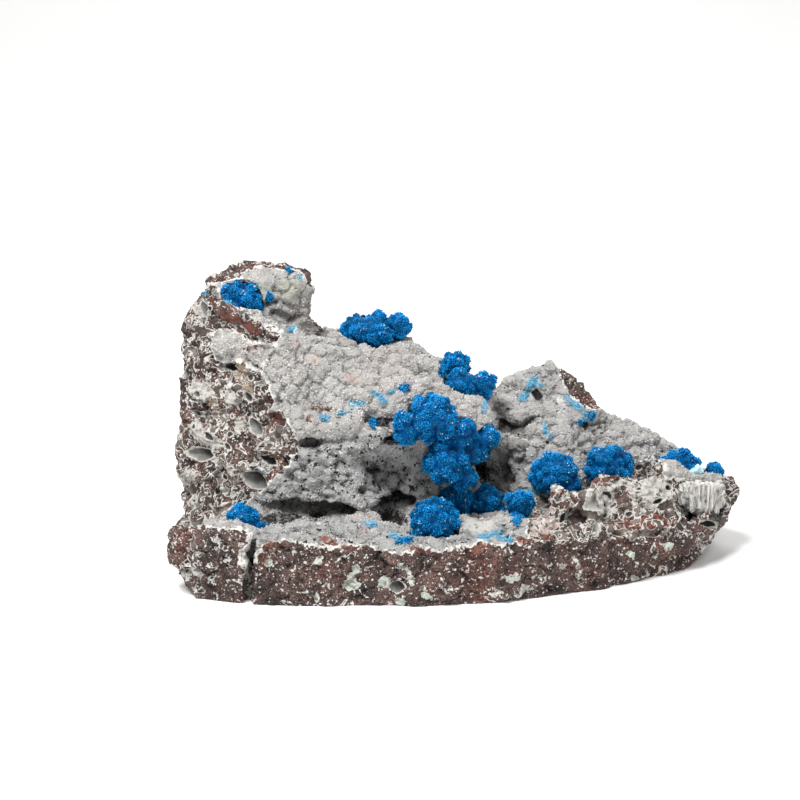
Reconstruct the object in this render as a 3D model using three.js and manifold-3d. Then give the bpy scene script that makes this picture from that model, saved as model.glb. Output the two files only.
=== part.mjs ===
// Cavansite on its matrix: blue balls of cavansite crystals, called rosettes, on a broken piece
// of the wall of a basalt vug, which is lined with a grey crust of small zeolite crystals.
// Millimetres. +Z is up, +X to the right and +Y to the back of the specimen as it is shown,
// and the origin is the middle of its box, at the height of its flat underside.
import * as THREE from "three";
import { ConvexHull } from "three/addons/math/ConvexHull.js";
import { ImprovedNoise } from "three/addons/math/ImprovedNoise.js";
import { mergeVertices } from "three/addons/utils/BufferGeometryUtils.js";
import Module from "manifold-3d";

const wasm = await Module();
wasm.setup();

// Heights of the specimen's levels above its underside.
const FLOOR = 17.5; // the crusted floor of the vug, which the front slab carries
const LIP = 42; // the front edge of the sloping roof
const SADDLE = 43; // the low point between the left mass and the right peak
const PEAK = 49; // the right peak
const SUMMIT = 82.5; // the top of the tower

// Places along X and Y that several masses share.
const LEFT = -78.5;
const RIGHT = 79.5;
const FRONT = -42;
const BACK = 42;
const VALLEY_X = 9; // where the left mass ends and the valley begins
const SEAM_X = -57; // the crusted joint between the corner block and the front slab

const CELL = 5.9; // the spacing of the points at which the rock's form is sampled
const BLEND = 3.2; // how far neighbouring masses run into each other
const ROUGHNESS = 1.7; // how far broken rock stands out or falls back at the front
const BACK_ROUGHNESS = 4.5; // the same at the back, which broke off in coarse steps
const GRAIN = 12; // the width of those swellings
const SUNK = -4; // how far the masses reach below the underside before it is cut flat
const CRYSTAL_GAP = 0.4; // the clearance between a crystal and the socket that it sits in
const KNOB = 1.8; // how far the lobes of a large rosette stand out or fall back
const LOBE = 2.6; // the width of those lobes

const noise = new ImprovedNoise();
function swell(point, size, seed) {
  return noise.noise(point.x / size + seed, point.y / size - seed, point.z / size + 2 * seed);
}

// A distance to the nearer of two forms that rounds the crease where they meet.
function blend(a, b, width) {
  const near = Math.max(width - Math.abs(a - b), 0) / width;
  return Math.min(a, b) - (near * near * width) / 4;
}

// A mass of rock: the distance to the convex body around its corner points.
function mass(corners) {
  const hull = new ConvexHull().setFromPoints(corners.map((c) => new THREE.Vector3(...c)));
  const sides = hull.faces.map((face) => new THREE.Plane(face.normal.clone(), -face.constant));
  return (point) => Math.max(...sides.map((side) => side.distanceToPoint(point)));
}

// A lump of crust: about the distance to a stretched ball, turned about X, Y and Z.
function lump([middle, radii, turn]) {
  const placed = placement(middle, radii, turn).invert();
  const least = Math.min(...radii);
  const local = new THREE.Vector3();
  return (point) => (local.copy(point).applyMatrix4(placed).length() - 1) * least;
}

// The matrix that stretches a ball of radius 1 to its radii, turns it and moves it.
function placement(middle, radii, turn = [0, 0, 0]) {
  const radians = turn.map(THREE.MathUtils.degToRad);
  return new THREE.Matrix4().compose(
    new THREE.Vector3(...middle),
    new THREE.Quaternion().setFromEuler(new THREE.Euler(...radians)),
    new THREE.Vector3(...radii),
  );
}

// Samples a field of distances on a grid of cubes. Where two solid corners of a square are joined
// only across its diagonal, the weaker of the open ones is filled, so that no edge is shared by
// more than two faces.
function sample(field, box) {
  const size = box.getSize(new THREE.Vector3()).divideScalar(CELL).ceil().addScalar(1);
  const [nx, ny, nz] = size.toArray();
  const at = (i, j, k) => i + nx * (j + ny * k);
  const place = (i, j, k) => new THREE.Vector3(i, j, k).multiplyScalar(CELL).add(box.min);
  const values = new Float32Array(nx * ny * nz);
  for (let k = 0; k < nz; k++) {
    for (let j = 0; j < ny; j++) {
      for (let i = 0; i < nx; i++) values[at(i, j, k)] = field(place(i, j, k));
    }
  }
  const squares = [[1, nx], [1, nx * ny], [nx, nx * ny]];
  for (let mended = true; mended; ) {
    mended = false;
    for (const [u, v] of squares) {
      for (let p = 0; p + u + v < values.length; p++) {
        const solid = [p, p + u, p + u + v, p + v].map((q) => values[q] < 0);
        if (solid[0] === solid[1] || solid[0] !== solid[2] || solid[1] !== solid[3]) continue;
        const open = solid[0] ? [p + u, p + v] : [p, p + u + v];
        open.sort((q, r) => values[q] - values[r]);
        values[open[0]] = -0.05;
        mended = true;
      }
    }
  }
  return { values, nx, ny, nz, at, place };
}

// Closes a surface around the solid part of a field: one point for each cube that the surface
// crosses, drawn onto it, and two faces for each edge of the grid that runs from solid to open.
function surface(field, box) {
  const { values, nx, ny, nz, at, place } = sample(field, box);
  const points = [];
  const faces = [];
  const numbers = new Map();
  const corners = [0, 1].flatMap((k) => [0, 1].flatMap((j) => [0, 1].map((i) => [i, j, k])));
  const edges = corners.flatMap((a, m) =>
    corners.slice(m + 1).map((b) => [a, b]).filter(([p, q]) =>
      Math.abs(p[0] - q[0]) + Math.abs(p[1] - q[1]) + Math.abs(p[2] - q[2]) === 1));
  const pointOf = (i, j, k) => {
    const key = at(i, j, k);
    if (numbers.has(key)) return numbers.get(key);
    const middle = new THREE.Vector3();
    let crossings = 0;
    for (const [a, b] of edges) {
      const fa = values[at(i + a[0], j + a[1], k + a[2])];
      const fb = values[at(i + b[0], j + b[1], k + b[2])];
      if (fa < 0 === fb < 0) continue;
      const from = place(i + a[0], j + a[1], k + a[2]);
      middle.add(from.lerp(place(i + b[0], j + b[1], k + b[2]), fa / (fa - fb)));
      crossings += 1;
    }
    points.push(drawnOnto(field, middle.divideScalar(crossings)));
    numbers.set(key, points.length - 1);
    return points.length - 1;
  };
  const axes = [[1, 0, 0], [0, 1, 0], [0, 0, 1]];
  for (let k = 1; k < nz - 1; k++) {
    for (let j = 1; j < ny - 1; j++) {
      for (let i = 1; i < nx - 1; i++) {
        axes.forEach(([x, y, z], axis) => {
          const here = values[at(i, j, k)] < 0;
          if (here === values[at(i + x, j + y, k + z)] < 0) return;
          const u = axes[(axis + 1) % 3];
          const v = axes[(axis + 2) % 3];
          const back = (a, b) => [0, 1, 2].map((n) => [i, j, k][n] - a * u[n] - b * v[n]);
          const ring = [[0, 0], [1, 0], [1, 1], [0, 1]].map(([a, b]) => pointOf(...back(a, b)));
          if (!here) ring.reverse();
          const [p, q, r, s] = ring;
          const short = points[p].distanceTo(points[r]) < points[q].distanceTo(points[s]);
          faces.push(...(short ? [p, q, r, p, r, s] : [q, r, s, q, s, p]));
        });
      }
    }
  }
  return new THREE.BufferGeometry().setFromPoints(points).setIndex(faces);
}

// Moves a point straight onto a field's surface, by no more than a third of a cell.
function drawnOnto(field, point) {
  const step = CELL / 20;
  const slope = new THREE.Vector3(
    ...[[1, 0, 0], [0, 1, 0], [0, 0, 1]].map((axis) => {
      const along = new THREE.Vector3(...axis).multiplyScalar(step);
      return field(point.clone().add(along)) - field(point.clone().sub(along));
    }),
  ).divideScalar(2 * step);
  const reach = THREE.MathUtils.clamp(-field(point) / slope.lengthSq(), -CELL / 3, CELL / 3);
  return point.addScaledVector(slope, reach);
}

// A closed geometry as a solid that manifold-3d can join and cut.
function solid(geometry) {
  const plain = new THREE.BufferGeometry();
  plain.setAttribute("position", geometry.getAttribute("position").clone());
  plain.setIndex(geometry.index);
  const merged = mergeVertices(plain, 1e-3);
  return new wasm.Manifold(
    new wasm.Mesh({
      numProp: 3,
      vertProperties: merged.getAttribute("position").array,
      triVerts: new Uint32Array(merged.index.array),
    }),
  );
}

// A solid as three.js geometry, with the flat faces of broken stone and crystals.
function geometryOf(body) {
  const mesh = body.getMesh();
  const geometry = new THREE.BufferGeometry();
  geometry.setAttribute("position", new THREE.BufferAttribute(mesh.vertProperties, 3));
  geometry.setIndex(new THREE.BufferAttribute(mesh.triVerts, 1));
  return geometry;
}

const union = (bodies) => bodies.reduce((all, body) => all.add(body));

// A pit or a crevice: a faceted ball stretched to its three radii, turned about X, Y and Z.
function pit([middle, radii, turn]) {
  const ball = new THREE.IcosahedronGeometry(1, Math.max(...radii) > 4 ? 1 : 0);
  return solid(ball.applyMatrix4(placement(middle, radii, turn)));
}

// The front slab, the lowest and broadest mass, whose front recedes towards the right.
const slab = [
  [-71, -34, SUNK], [-55, -41, SUNK], [-16, FRONT, SUNK], [12, -39, SUNK], [40, -27, SUNK],
  [62, -11, SUNK], [67, 8, SUNK], [58, 30, SUNK], [10, 38, SUNK], [-45, 37, SUNK],
  [-70, 24, SUNK], [-74, -6, SUNK],
  [-58, -41, 16], [-16, FRONT - 0.5, 16], [13, -39.5, 16], [42, -28, 15], [68, -11, 14],
  [RIGHT, 6, 17], [RIGHT, 18, 17], [62, 35, FLOOR], [10, BACK, FLOOR], [-45, BACK, FLOOR],
  [-74, 28, FLOOR], [LEFT, 0, FLOOR], [-55, -37, FLOOR], [-16, -38, FLOOR], [14, -35, FLOOR],
];

// The corner block at the front left, which a joint parts from the slab.
const cornerBlock = [
  [-72, -37, SUNK], [SEAM_X, -39, SUNK], [LEFT - 0.5, -33, 10], [LEFT - 0.5, -35, 20],
  [-68, -39, 19], [SEAM_X, -39.5, 20], [SEAM_X, -26, 20.5], [LEFT, -14, 19], [-70, -10, SUNK],
];

// The tower at the left. Its broken face looks to the front left and leans back.
const tower = [
  [LEFT, 3, 12], [-72, -9, 14], [-58, -17, 15], [-44, -20, 24], [-42, -8, 12],
  [-42, 30, 12], [-60, 39, 12], [-76, 30, 12],
  [LEFT, 2, 38], [-77.5, 7, 52], [-78, 8, 63], [-75, 6, 72], [-70, 4, 78], [-60, -1, 71],
  [-52, -6, 66], [-43, -18, 42], [-38, 0, 60], [-44, 20, 64], [-60, 34, 58], [-72, 30, 60],
  [-66, 22, 74],
];

// The summit, a knob of crusted rock on the tower.
const summit = [
  [-72, 6, 77], [-70, 3, 80.5], [-64, 3, 79], [-60, 4, 80.5], [-48, 5, SUMMIT],
  [-43, 7, 80.5], [-39.5, 10, 73], [-42, 9, 68], [-50, 4, 66], [-64, 4, 68], [-73, 10, 72],
  [-67, 20, SUMMIT - 1], [-46, 22, SUMMIT - 2], [-40, 20, 72], [-44, 24, 64], [-70, 24, 66],
];

// The roof, a thick sloping plate whose front edge overhangs the body below it.
const roof = [
  [-52, -6, 65], [-47, -17, 45], [-36, -22, LIP], [-22, -23, LIP - 1], [-8, -20, LIP],
  [2, -15, LIP + 1], [VALLEY_X, -4, LIP + 1], [VALLEY_X + 2, 8, 44],
  [-46, 10, 66.5], [-34, 15, 62.5], [-22, 18, 61.5], [-13, 19, 60.5], [-5, 17.5, 56.5],
  [2, 15, 52.5], [8, 14, 46.5],
  [-40, -16, 32], [-8, -12, 33], [4, -2, 32], [6, 16, 32], [-40, 20, 40],
];

// The body under the roof, set back behind the lip, from the tower to the valley.
const body = [
  [-48, -18, 12], [-30, -18, 12], [-10, -13, 12], [4, -4, 12], [VALLEY_X, 8, 12],
  [-47, -18, 36], [-34, -17.5, 37], [-14, -14.5, 38], [-2, -11, 39], [6, 0, 40],
  [6, 34, 12], [-20, 40, 12], [-62, 39, 12], [-62, 33, 54], [-46, 25, 62], [-22, 28, 57],
  [-8, 27, 55], [2, 23, 49], [8, 20, 42], [6, 34, 34], [-30, 36, 44],
];

// The wall that joins the left mass to the peak behind the valley.
const backWall = [
  [-10, 20, 12], [-4, 38, 12], [24, 40, 12], [26, 12, 12],
  [-6, 24, 46], [4, 14, 40], [12, 13, 38], [8, 22, SADDLE], [20, 22, SADDLE],
  [20, 34, SADDLE - 5], [-4, 34, 40],
];

// The right peak. Its crusted face slopes down to the front and its right side is broken.
const peak = [
  [9, 18, 41], [14, 24, 46], [19, 25, 47], [28, 26, PEAK + 4.5], [32.5, 27, PEAK + 1.5],
  [36, 28, 43.5], [41, 25, 37.5], [28, 36, 40], [12, 36, 37],
  [10, 8, 33], [16, -2, 26], [32, -3, 27], [44, 8, 29],
  [8, -4, 12], [14, -12, 12], [34, -10, 12], [50, 4, 12], [52, 34, 12], [12, 39, 12],
];

// The ridge that runs down from the peak to the right end.
const ridge = [
  [36, 20, 36], [42, 23, 36], [52, 21, 33.5], [56, 20, 31], [61, 18, 28], [68, 16, 24],
  [40, 4, 28], [56, 8, 25], [70, 12, 21], [77, 16, 17], [74, 26, 16], [62, 34, 20],
  [42, 36, 29], [34, 2, 12], [60, 6, 12], [72, 14, 12], [56, 35, 12], [36, 38, 12],
];

// The rim, the broken wall that stands in front of the trough on the right.
const rim = [
  [14, -33, 19], [18, -30, 24], [23, -28, 27], [33, -22.5, 31.5], [47, -13.5, 33],
  [53, -9.5, 34], [59, -5, 28], [72, 3, 23], [RIGHT - 1, 6, 20], [RIGHT, 12, 18], [14, -37, 8],
  [34, -30, 10], [56, -18, 10], [72, -5, 9], [24, -22, 15], [46, -7, 15], [66, 10, 15],
  [52, -17, 20],
];

// The broken face of the right end, with the tuft of bladed crystals above a pocket.
const rightEnd = [
  [64, -5, 24], [70, -1, 25], [RIGHT - 2, 4, 21], [RIGHT, 10, 20], [74, 14, 20],
  [66, -8, 9], [76, 0, 8], [RIGHT - 1, 12, 9], [64, 8, 12], [60, -8, 14],
];

// Each lump of crust: its middle, its radii and its turn, in the order of the masses.
const lumps = [
  [[-54, -5.5, 63], [8, 4, 6.5], [0, 0, -33]], // the bulge on the broken face of the tower
  [[-47.5, -11.5, 56], [5, 4, 5], [0, 0, -33]],
  [[-62, -1, 60], [4, 2.6, 5], [0, 0, -33]],
  [[-60.5, -3, 72], [8, 3, 3.8], [0, 14, -14]], // the shelf in front of the summit's rosette
  [[-67.5, -1, 75], [3.4, 2.6, 3], [0, 30, -20]],
  [[-28, 2, 57], [9, 7, 4], [28, 10, 0]], // the lumps of the roof
  [[-30, -14, 49], [8, 6, 4], [32, 0, 0]],
  [[-14, -10, 50.5], [9, 7, 4], [28, 10, 0]],
  [[-14, 8, 55.5], [8, 7, 4], [25, 15, 0]],
  [[-24, -20, 42.5], [8, 4, 3.5], [0, 0, 0]],
  [[-40, -18, 44], [6, 5, 4], [0, 0, 10]],
  [[-38, -17, 29], [9, 6, 10], [0, 10, 0]], // the swollen body under the roof
  [[-24, -16, 24], [8, 5, 6], [0, -10, 0]],
  [[-2, -12, 31], [6, 5, 7], [0, 0, -20]],
  [[5, -5, 41], [4.4, 4.4, 4], [0, 0, 0]], // the knob among the rosettes
  [[16, 18, 42], [6, 6, 5], [30, 0, 0]], // the lumps of the peak
  [[35, 17, 37], [7, 6, 5], [30, 10, 0]],
  [[15, 2, 31], [5, 5, 4], [30, 0, 0]],
  [[26, 4, 32], [7, 5, 4], [30, 0, 0]],
  [[14, -7, 25], [5, 5, 5], [0, 0, 0]],
  [[50, 17, 32], [8, 6, 4], [20, 10, 0]],
  [[5, -25, 18], [6.5, 6, 3], [0, 0, 0]], // the mound on the floor behind the front edge
  [[-32, -30, FLOOR], [14, 6, 2.4], [0, 0, 3]],
  [[-76, -2, 29], [4, 5, 4.5], [0, 0, 0]], // the knob on the tower's left edge
  [[-30, 36, 20], [18, 6, 11], [0, 0, 0]], // the ledges of the broken back
  [[24, 35, 14], [15, 6, 12], [0, 0, 0]],
];

// Each wide hollow, which runs smoothly into the rock around it, as a lump of nothing.
const hollows = [
  [[-60.5, -1.5, 79.4], [8.5, 6.5, 4.6], [0, 8, 0]], // the niche of the summit's rosette
  [[-18, -22, 28], [10.5, 10, 7], [0, 15, 0]], // the hollow in the body under the roof
  [[11, -4, 25], [5, 11, 8], [0, -12, 0]], // the dark cleft of the valley
  [[46, -2, 29], [15, 5, 6], [0, 6, 30]], // the trough behind the rim
  [[-48, 46, 42], [16, 12, 14], [0, 0, 0]], // the scars of the broken back
  [[2, 47, 36], [20, 13, 10], [0, 20, 0]],
  [[50, 44, 26], [18, 12, 10], [0, 0, 0]],
  [[-84, 16, 36], [9, 12, 14], [0, 0, 0]],
];

// Each crevice, hole or vesicle, a small bubble of the lava, which has a sharp edge.
const pits = [
  [[-41, 6, 65], [5, 4, 2.4], [0, 20, 20]], // the undercut of the summit knob
  [[-42, -23, 39], [5, 5, 2.4], [0, 0, 0]], // the notch under the lip
  [[-13, -22, 40.8], [10, 10, 2], [0, -6, 0]], // the black crevice under the roof
  [[-18, -17, 20.5], [7.5, 10, 3], [0, 0, 0]], // the black hole at the foot of the hollow
  [[-43, -22, 20.6], [16.5, 8.5, 3], [0, 0, 3]], // the gap between the body and the floor
  [[7, -2, 36.5], [5, 6, 1.8], [0, 10, 0]], // the gap under the knob
  [[17, 9, 37.5], [7, 5, 1.8], [0, -8, 0]], // the shadowed ledge of the peak
  [[66.5, -9, 17.8], [6, 5, 3], [0, -12, 0]], // the pocket under the bladed tuft
  [[SEAM_X + 0.5, -42, 8], [1.7, 7, 15], [0, 5, 0]], // the open joint beside the corner block
  [[-51.5, -19.5, 34], [3.6, 3.4, 2.8], [0, 35, 0]], // the vesicles of the tower's face
  [[-50.5, -19, 42], [3.6, 3, 1.4], [0, 15, 0]],
  [[-73, -4.5, 44], [5, 4, 3.6], [0, 10, 0]],
  [[-65, -8.5, 49], [3.6, 3, 2.4], [0, 45, 0]],
  [[-56, -13, 50], [2.6, 3, 4.6], [0, 25, 0]],
  [[-70, -5, 66], [2, 3, 3.6], [0, -30, 0]],
  [[-67, -10.5, 29], [2.8, 2.6, 2.8], [0, 20, 0]],
  [[-75, -2, 55], [2, 2.4, 2.4], [0, 0, 0]],
  [[31, -28, 20.5], [3.4, 3.4, 2.6], [0, 20, 0]], // the vesicles of the rim
  [[40, -24, 20], [2.4, 3, 3.2], [0, -15, 0]],
  [[49, -18.5, 23], [2.8, 2.8, 2], [0, 0, 0]],
  [[-4, -44, 6.5], [3, 2.6, 2], [0, 0, 0]], // the vesicles of the slab's face
  [[-70, -38.5, 8.5], [3.4, 2.4, 1.8], [0, 15, 0]],
];

// The distance to the rock and its crust, lumps included.
const masses = [
  slab, cornerBlock, tower, summit, roof, body, backWall, peak, ridge, rim, rightEnd,
].map(mass);
const swellings = lumps.map(lump);
const scoops = hollows.map(lump);
function rock(point) {
  const broken = masses.map((one) => one(point)).reduce((a, b) => blend(a, b, BLEND));
  const crusted = swellings.map((one) => one(point)).reduce((a, b) => blend(a, b, BLEND), broken);
  const relief = swell(point, GRAIN, 1) + 0.5 * swell(point, GRAIN / 2, 5);
  const hollowed = scoops.map((one) => one(point)).reduce((a, b) => -blend(-a, b, BLEND), crusted);
  const backness = THREE.MathUtils.smoothstep(point.y, 22, BACK - 4);
  return hollowed - THREE.MathUtils.lerp(ROUGHNESS, BACK_ROUGHNESS, backness) * relief;
}

// Each rosette or group of rosettes that grew into each other: the middle and radius of each ball.
const rosettes = {
  cavansite_summit: [[[-60.6, 4.2, 72.8], 6]],
  cavansite_ridge: [
    [[-28.6, 9, 63.4], 5],
    [[-23.6, 9.5, 63.4], 5.6],
    [[-17.2, 13, 64.2], 3.9],
  ],
  cavansite_cascade: [
    [[-0.8, 11.5, 53.4], 4.3],
    [[0.7, 4.5, 49.4], 4.8],
    [[6.7, 7, 48.2], 4],
  ],
  cavansite_fall: [
    [[-7.7, -18.5, 45.4], 6.6], // the large ball on the lip, with its two side lobes
    [[-15.6, -22, 45.6], 2.4],
    [[-14.5, -21, 42], 3.4],
    [[0.9, -15, 40], 4.5], // the balls that hang below it
    [[3.3, -12.5, 34.7], 4.3],
    [[7.9, -9.5, 38.2], 3.2],
    [[-3.6, -18, 33.1], 5.9],
    [[0.9, -16, 28.5], 3.9],
  ],
  cavansite_foot: [
    [[-0.5, -9.8, 19.5], 4.7],
    [[7.6, -8, 18.2], 5.2],
  ],
  cavansite_front: [[[-7.2, -28, 19.3], 6.3]],
  cavansite_notch: [
    [[16.3, -20, 21.8], 3.9],
    [[15.4, -22.5, 17.4], 2.7],
  ],
  cavansite_rim_1: [
    [[26.4, -9, 27], 6.4],
    [[31, -12.5, 24.8], 2.7],
  ],
  cavansite_rim_2: [[[42.3, -2, 27], 6.6]],
  cavansite_rim_3: [[[63.3, 7, 24], 5.6]],
  cavansite_rim_4: [[[73.4, 11, 22], 3]],
  cavansite_corner: [
    [[-59.2, -22.5, 17.4], 4.8],
    [[-55, -24, 15.8], 3],
  ],
};

// A ball of crystals: its radius comes and goes with the lobes that the crystals fan out in.
function rosetteBall([middle, radius], margin = 0) {
  const form = new THREE.IcosahedronGeometry(1, radius > 5.4 ? 2 : 1);
  const points = form.getAttribute("position");
  const centre = new THREE.Vector3(...middle);
  const away = new THREE.Vector3();
  const knob = (KNOB * Math.min(radius, 6)) / 6;
  for (let i = 0; i < points.count; i++) {
    away.fromBufferAttribute(points, i);
    const place = away.clone().multiplyScalar(radius).add(centre);
    away.multiplyScalar(radius + margin + knob * swell(place, LOBE, 3)).add(centre);
    points.setXYZ(i, ...away.toArray());
  }
  return solid(form);
}

// A blade of stilbite: a flat prism whose lower end runs to a blunt point, grown by a margin.
function blade([middle, size, turn], margin = 0) {
  const [width, depth, length] = size.map((side) => side + 2 * margin);
  const shape = new THREE.Shape([
    new THREE.Vector2(-width / 2, length / 2),
    new THREE.Vector2(-width / 2, width / 3 - length / 2),
    new THREE.Vector2(-width / 6, -length / 2),
    new THREE.Vector2(width / 2, width / 2 - length / 2),
    new THREE.Vector2(width / 2, length / 2),
  ]);
  const form = new THREE.ExtrudeGeometry(shape, { depth, bevelEnabled: false });
  form.translate(0, 0, -depth / 2).rotateX(Math.PI / 2);
  return solid(form.applyMatrix4(placement(middle, [1, 1, 1], turn)));
}

// The blades of stilbite: the tuft of the right end, a fan whose free ends hang over the pocket,
// and the pale blue one that leans against the rosette above it.
const stilbites = {
  stilbite_tuft: [
    [[62.6, -7.6, 21], [2.6, 3, 6.4], [8, 10, 31]],
    [[64.8, -6.6, 19.8], [2.6, 3.4, 8.4], [6, 5, 31]],
    [[67, -5.4, 19], [2.8, 3, 10], [8, 0, 31]],
    [[69.3, -4.2, 18.6], [2.6, 3.6, 9.4], [5, -4, 31]],
    [[71.4, -2.6, 17.6], [2.6, 3, 10.8], [8, -8, 31]],
    [[73.2, -1, 18.4], [2.4, 3.2, 7.6], [6, -14, 31]],
  ],
  stilbite_blade: [[[65.8, 0.4, 24.4], [2.4, 1.8, 6.6], [0, 52, 20]]],
};

// The whole matrix: the rock closed at its surface, with its pits and the sockets of its crystals
// cut out and its underside cut flat.
function makeMatrix(sockets) {
  const room = new THREE.Box3(
    new THREE.Vector3(LEFT - 8, FRONT - 8, SUNK - 8),
    new THREE.Vector3(RIGHT + 8, BACK + 8, SUMMIT + 8),
  );
  const below = new THREE.BoxGeometry(400, 400, 100).translate(0, 0, -50);
  return solid(surface(rock, room)).subtract(union([...pits.map(pit), ...sockets, solid(below)]));
}

const grey = new THREE.MeshStandardMaterial({ color: "#8f8a84", roughness: 0.95 });
const blue = new THREE.MeshStandardMaterial({ color: "#0a5fae", roughness: 0.35 });
const pale = new THREE.MeshStandardMaterial({ color: "#cfe6ea", roughness: 0.3 });

const specimen = new THREE.Group();
function add(name, body, material) {
  const mesh = new THREE.Mesh(geometryOf(body), material);
  mesh.name = name;
  specimen.add(mesh);
}

const sockets = [];
for (const [name, balls] of Object.entries(rosettes)) {
  add(name, union(balls.map((ball) => rosetteBall(ball))), blue);
  sockets.push(...balls.map((ball) => rosetteBall(ball, CRYSTAL_GAP)));
}
for (const [name, blades] of Object.entries(stilbites)) {
  add(name, union(blades.map((one) => blade(one))), pale);
  sockets.push(...blades.map((one) => blade(one, CRYSTAL_GAP)));
}
add("matrix", makeMatrix(sockets), grey);

// The middle of the whole box goes to the origin, at the height of the underside.
const box = new THREE.Box3().setFromObject(specimen);
const middle = box.getCenter(new THREE.Vector3());
specimen.children.forEach((mesh) => mesh.geometry.translate(-middle.x, -middle.y, -box.min.z));

export default specimen;
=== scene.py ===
"""Looks of a cavansite specimen: blue crystal rosettes on a broken lump of vesicular basalt.

The basalt is lined with a grey crust of small zeolite crystals. Lengths in this script are
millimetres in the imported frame, and meshes are written in metres. Places named with pixels are in
the frame of the reference photograph, 800 by 800.
"""

import logging
import math
from dataclasses import dataclass, field
from enum import Enum

import bpy
import numpy as np
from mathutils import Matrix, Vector
from mathutils.bvhtree import BVHTree
from mathutils.kdtree import KDTree


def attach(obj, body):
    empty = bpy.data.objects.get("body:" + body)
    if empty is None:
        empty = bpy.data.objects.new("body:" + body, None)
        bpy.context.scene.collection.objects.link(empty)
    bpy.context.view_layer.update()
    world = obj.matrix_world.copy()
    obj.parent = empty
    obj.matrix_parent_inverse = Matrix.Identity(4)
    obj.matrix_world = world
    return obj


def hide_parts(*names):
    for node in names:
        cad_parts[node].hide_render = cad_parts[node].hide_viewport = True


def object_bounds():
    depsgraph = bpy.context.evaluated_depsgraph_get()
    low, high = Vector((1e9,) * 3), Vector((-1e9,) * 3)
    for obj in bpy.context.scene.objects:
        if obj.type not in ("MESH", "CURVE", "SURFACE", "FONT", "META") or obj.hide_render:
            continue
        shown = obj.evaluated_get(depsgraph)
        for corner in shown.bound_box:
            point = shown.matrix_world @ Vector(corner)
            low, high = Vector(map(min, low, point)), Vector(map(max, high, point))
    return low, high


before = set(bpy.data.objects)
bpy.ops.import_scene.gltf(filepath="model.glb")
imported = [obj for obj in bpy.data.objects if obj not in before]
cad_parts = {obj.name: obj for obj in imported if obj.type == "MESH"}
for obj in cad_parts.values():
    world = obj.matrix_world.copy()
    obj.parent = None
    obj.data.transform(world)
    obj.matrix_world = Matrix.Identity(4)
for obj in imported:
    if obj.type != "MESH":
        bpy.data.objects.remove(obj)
CAD_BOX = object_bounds()

MM = 0.001
LOG = logging.getLogger("specimen")
FULL_TURN = 6.28
FAR_OUTSIDE = -5.0
PAINTED_GLINT_TINT = 2.0
TOWARDS_PHOTO = (0, -0.9, 0.43)
Pixels = tuple[tuple[float, float], ...]
Socket = bpy.types.NodeSocket
NodeTree = bpy.types.NodeTree


class Tone(Enum):
    """Colours of the minerals, as sRGB hex values."""

    BASALT_DARK = "#2d2221"
    BASALT = "#5e4943"
    RUST = "#7a4a3d"
    RUST_DARK = "#5f3229"
    CREAM = "#c7c5bf"
    ASH = "#7d736d"
    ASH_PALE = "#bab7b1"
    WHITE_CRUST = "#d6d3cd"
    TAN = "#8d7c6a"
    GREY = "#b4b2ad"
    PALE_BLUE = "#bcc5c6"
    DRUSE = "#b4b2af"
    DRUSE_TIP = "#c4c2c0"
    DRUSE_SHADE = "#888581"
    DRUSE_COOL = "#9a9b9a"
    DRUSE_PINK = "#b0a09a"
    DRUSE_GREEN = "#a5a699"
    AMYGDULE = "#b9c0b5"
    # Near-black used as painted shade in pores, holes and hollows.
    CREVICE = "#1d1a19"
    HOLE = "#40342f"
    BLUE = "#00508b"
    BLUE_DEEP = "#011f42"
    BLUE_TIP = "#26a2da"
    CYAN = "#319fce"
    CYAN_BRIGHT = "#55b4dc"
    CYAN_PALE = "#9fd2e2"
    BLADE_BLUE = "#bfe4ec"
    STUDIO = "#f7f7f6"


def linear(tone: Tone) -> tuple[float, float, float, float]:
    """Turns a tone's sRGB hex value into linear light.

    Args:
        tone: the named colour.

    Returns:
        Red, green, blue and alpha, linear.
    """
    channels = [int(tone.value[k : k + 2], 16) / 255 for k in (1, 3, 5)]
    lit = [c / 12.92 if c <= 0.04045 else ((c + 0.055) / 1.055) ** 2.4 for c in channels]
    return (lit[0], lit[1], lit[2], 1.0)


def add_node(tree: NodeTree, kind: str, links: dict, output: int | str = 0, **settings: object) -> Socket:
    """Adds a shader node with its settings and links.

    Args:
        tree: the material's node tree.
        kind: the node's type name, without its common beginning.
        links: for each input, by name or number, a value or the socket that feeds it.
        output: the output to hand back, by name or number.
        settings: the node's own properties.

    Returns:
        The asked output socket.
    """
    node = tree.nodes.new("ShaderNode" + kind)
    for name, value in settings.items():
        setattr(node, name, value)
    for key, value in links.items():
        if isinstance(value, Socket):
            tree.links.new(value, node.inputs[key])
        else:
            node.inputs[key].default_value = value
    return node.outputs[output]


def per_metre(millimetres: float) -> float:
    """Gives the texture scale at which one cell of a pattern has that size."""
    return 1 / (millimetres * MM)


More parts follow.
